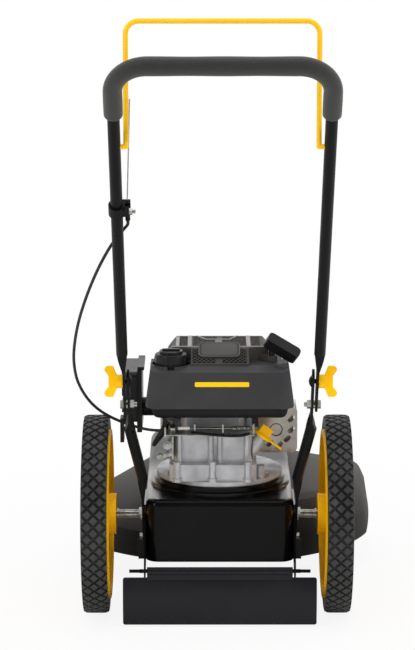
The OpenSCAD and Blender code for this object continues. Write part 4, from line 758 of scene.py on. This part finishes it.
VENTS = (
    [[-48, 3], [-8, 3], [-8, 18], [-48, 18]], [[-48, 18], [-37, 18], [-37, 41], [-48, 41]],
    [[5, 3], [47, 3], [47, 18], [5, 18]], [[36, 18], [47, 18], [47, 41], [36, 41]])
VENT_PITCH = 5.6
VENT_BAR_W, VENT_BAR_H = 1.5, 0.6
BACK_T = 0.3
vent_shapes, hood_shade_sheets = [], []
for vent in VENTS:
    vent = np.array(vent, float)
    first, last = lattice(vent, VENT_PITCH)
    vent_shapes.append(bars(on_slope(first, BACK_T), on_slope(last, BACK_T), VENT_BAR_W, VENT_BAR_H, slope_out))
    size = vent[2] - vent[0]
    middle = on_slope((vent[2:3] + vent[:1]) / 2, 0)[0]
    hood_shade_sheets.append(slab(rounded_rectangle(*size, 0.8), BACK_T, 0.1, middle, X_AXIS, slope_up))
add("hood_vent_mesh", joined(*vent_shapes), COVER_PLASTIC, "frame")
# Painted shade: near-black sheets under the bars stand for the vents' shaded openings.
add("hood_vent_hole_shade", joined(*hood_shade_sheets), VENT_HOLE_SHADE, "frame")

PANELS = ((-67, -52), (-42, 0), (10, 52), (62, 77))
PANEL_Y = (2.0, 91.0)
PANEL_FLOOR = COVER_TOP - 2
PANEL_GAP = 0.4
MESH_PITCH = 3.4
MESH_BAR_W, MESH_BAR_H = 1.0, 1.3
level = np.stack([X_AXIS, Y_AXIS])
lift = (PANEL_FLOOR + BACK_T) * Z_AXIS
low, high = PANEL_Y
mesh_shapes, cover_shade_sheets = [], []
for left, right in PANELS:
    first, last = lattice([[left, low], [right, low], [right, high], [left, high]], MESH_PITCH)
    mesh_shapes.append(bars(first @ level + lift, last @ level + lift, MESH_BAR_W, MESH_BAR_H, Z_AXIS))
    panel = rounded_rectangle(right - left - PANEL_GAP, high - low - PANEL_GAP, 1)
    middle = [(left + right) / 2, (low + high) / 2, PANEL_FLOOR]
    cover_shade_sheets.append(slab(panel, BACK_T, 0.1, middle, X_AXIS, Y_AXIS))
add("cover_mesh", joined(*mesh_shapes), COVER_PLASTIC, "frame")
# Painted shade: near-black sheets under the bars stand for the mesh's shaded openings.
add("cover_mesh_hole_shade", joined(*cover_shade_sheets), VENT_HOLE_SHADE, "frame")

NEAR, FAR = -6.0, 96.0
FORK = 65.0
RIB_RISE = 3.2
SPINE_RISE = 2.7
SPINE_W = 12
RIBS = (
    (7, [-48.5, NEAR], [-48.5, FAR]), (7, [56.5, NEAR], [56.5, FAR]), (6, [-70, -4], [-70, 88]),
    (2.6, [-19, FORK], [23, FORK]), (2.6, [-19, FORK], [-36, FAR]), (2.6, [23, FORK], [37, FAR]))
# Height of a pale bar that paints the highlight of the hood's crest edge.
CREST_HIGHLIGHT_Z = HOOD_CREST[1] - 1
rib_and_highlight_shapes = [
    bars([[*start, PANEL_FLOOR]], [[*end, PANEL_FLOOR]], width, RIB_RISE, Z_AXIS) for width, start, end in RIBS]
# Painted highlight: a pale bar along the crest stands in for the light its top edge catches.
rib_and_highlight_shapes.append(bars([[-81, -13, CREST_HIGHLIGHT_Z]], [[91, -13, CREST_HIGHLIGHT_Z]], 4, 1.5, Z_AXIS))
add("cover_ribs_and_crest_highlight", joined(*rib_and_highlight_shapes), RIB_AND_HIGHLIGHT_PLASTIC, "frame")
spine = bars([[3, NEAR, PANEL_FLOOR]], [[3, FORK, PANEL_FLOOR]], SPINE_W, SPINE_RISE, Z_AXIS)
add("cover_spine", spine, MID_RIB, "frame")


# Fittings of the engine

CAP_TOP = np.array([-81.0, -45.0, 487.0])
cap_bar = slab(rounded_rectangle(32, 9, 4.4), 3.2, 1.6, CAP_TOP, X_AXIS, Y_AXIS)
add("cap_grip_bar", cap_bar, BLACK_PLASTIC, "fuel_cap")

BOSS_FOOT = np.array([113.0, -66.0, 425.0])
BOSS_R = 11.0
BOSS_H = 42.0
BOSS_ROUND = 5.0
boss_turn = np.linspace(0, np.pi / 2, 8)
boss_rim = np.array([BOSS_R, BOSS_H]) - BOSS_ROUND
boss_round = boss_rim + BOSS_ROUND * np.stack([np.cos(boss_turn), np.sin(boss_turn)], -1)
boss_profile = np.concatenate([[[0.01, 0], [BOSS_R, 0]], boss_round, [[0.01, BOSS_H]]])
add("tank_boss", turned(boss_profile, BOSS_FOOT, Z_AXIS, 40), TANK_PLASTIC, "frame")

tray_path = smooth_path([
    [-46, -64.6, 342.5], [-25, -64.6, 340.5], [0, -64.6, 338], [25, -64.6, 336.6], [45, -64.6, 337.4],
    [58, -64.6, 341]], 8)
TRAY_R = 2.4
add("governor_tray", tube(tray_path, TRAY_R, 14), BLACK_PLASTIC, "frame")
sleeve = turned([[1.4, 0], [2.8, 0.6], [2.8, 20.4], [2.2, 21]], [-69, -54, 348], X_AXIS, 24)
add("link_sleeve", sleeve, PALE_PLASTIC, "frame")

LINK_CURLS = 7
LINK_COIL_R = 3
LINK_WIRE_R = 0.7
LEVER_PIN = [-88, -51, 317]
STOP_SCREW = [-100, -55, 297]
link_turn = np.linspace(0, 2 * np.pi * LINK_CURLS, LINK_CURLS * 16)
link_spring = np.stack([
    -89 + LINK_COIL_R * np.cos(link_turn), -49 + LINK_COIL_R * np.sin(link_turn),
    np.linspace(291, 313, len(link_turn))], -1)
mount_plate = bars([[-77, -50, 312]], [[-77, -22, 312]], 40, 3, -X_AXIS)
levers = bars([[-89, -52, 318], [-100, -54, 297]], [[-80, -46, 331], [-79, -47, 300]], 7, 2.2, -Y_AXIS)
pin = turned([[0.01, 0], [7.5, 0], [7.5, 3], [4, 3.4], [4, 7], [0.01, 7]], LEVER_PIN, -Y_AXIS, 28)
washer = turned([[0.01, 0], [7, 0], [7, 1.6], [0.01, 1.6]], STOP_SCREW, -Y_AXIS, 28)
screw_head = turned([[0.01, 1], [5.8, 1], [5.8, 7], [0.01, 7]], STOP_SCREW, -Y_AXIS, 6)
linkage = joined(mount_plate, levers, pin, washer, screw_head, tube(link_spring, LINK_WIRE_R, 8))
add("throttle_linkage", linkage, ZINC, "frame")

STRIPE_MIDDLE = [8.5, TANK_REAR, 435]
stripe = slab(rounded_rectangle(95, 8.5, 1.6), 0.5, 0.2, STRIPE_MIDDLE, X_AXIS, Z_AXIS)
add("tank_stripe", stripe, STRIPE_FINISH, "frame")


# Camera, light and floor

scene = bpy.context.scene
CAMERA_DOWN = 11.037
CAMERA_TURN = -0.096
camera_data = bpy.data.cameras.new("camera")
camera_data.lens = 146.15
camera_data.sensor_width = 36
camera = bpy.data.objects.new("camera", camera_data)
camera.location = place([-24.4, -4600, 1420.9])
camera.rotation_euler = (math.radians(90 - CAMERA_DOWN), 0, math.radians(CAMERA_TURN))
scene.collection.objects.link(camera)
scene.camera = camera


def softbox(name, location, aim, size, power):
    """Rectangular lamp that faces a point."""
    lamp = bpy.data.lights.new(name, "AREA")
    lamp.shape = "RECTANGLE"
    lamp.size, lamp.size_y = size
    lamp.energy = power
    holder = bpy.data.objects.new(name, lamp)
    holder.location = location
    holder.rotation_euler = (Vector(aim) - Vector(location)).to_track_quat("-Z", "Y").to_euler()
    scene.collection.objects.link(holder)


softbox("left_softbox", (-2.6, -2.2, 1.6), (0, 0, 0.4), (0.5, 2.2), 28)
softbox("right_softbox", (2.7, -1.9, 1.5), (0, 0, 0.4), (0.5, 2.2), 25)
softbox("top_softbox", (0, -0.6, 3.2), (0, 0, 0.3), (2.4, 1.2), 16)

world = bpy.data.worlds.new("studio")
scene.world = world
studio = Look("studio", world)
seen, mirrored, through = (
    studio.node("ShaderNodeLightPath", output=f"Is {ray} Ray") for ray in ("Camera", "Glossy", "Transmission"))
towards = studio.node("ShaderNodeTexCoord", output="Generated")
ahead = studio.node("ShaderNodeSeparateXYZ", inputs={0: towards}, output="Y")
reflected = studio.span(ahead, -0.5, 0.6, 0.12, 1.0)
PLAIN = 0.84
strength = PLAIN + (seen + through) * (1 - PLAIN) + mirrored * (reflected - PLAIN)
background = studio.tree.nodes["Background"]
background.inputs["Color"].default_value = (1, 1, 1, 1)
studio.feed(background.inputs["Strength"], strength)

FLOOR_HALF = 30.0
floor_mesh = bpy.data.meshes.new("floor")
floor_corners = [(x * FLOOR_HALF, y * FLOOR_HALF, 0) for x, y in ((-1, -1), (1, -1), (1, 1), (-1, 1))]
floor_mesh.from_pydata(floor_corners, [], [(0, 1, 2, 3)])
floor = bpy.data.objects.new("floor", floor_mesh)
scene.collection.objects.link(floor)
paper = Look("floor_paper")
paper.set(colour=srgb(236, 236, 234), roughness=0.9, specular=0.1)
distance = paper.node("ShaderNodeVectorMath", {"operation": "LENGTH"}, {0: paper.where()}, "Value")
white = paper.node("ShaderNodeEmission", inputs={"Color": (1, 1, 1, 1), "Strength": 1.0})
from_camera = paper.node("ShaderNodeLightPath", output="Is Camera Ray")
far = paper.span(distance, 0.5, 1.5, 0.88, 1.0)
shown = paper.node("ShaderNodeMixShader", inputs={
    0: from_camera * far, 1: Socket(paper, paper.shader.outputs[0]), 2: white})
paper.feed(paper.tree.nodes["Material Output"].inputs["Surface"], shown)
floor_mesh.materials.append(paper.owner)

scene.view_settings.view_transform = "Standard"
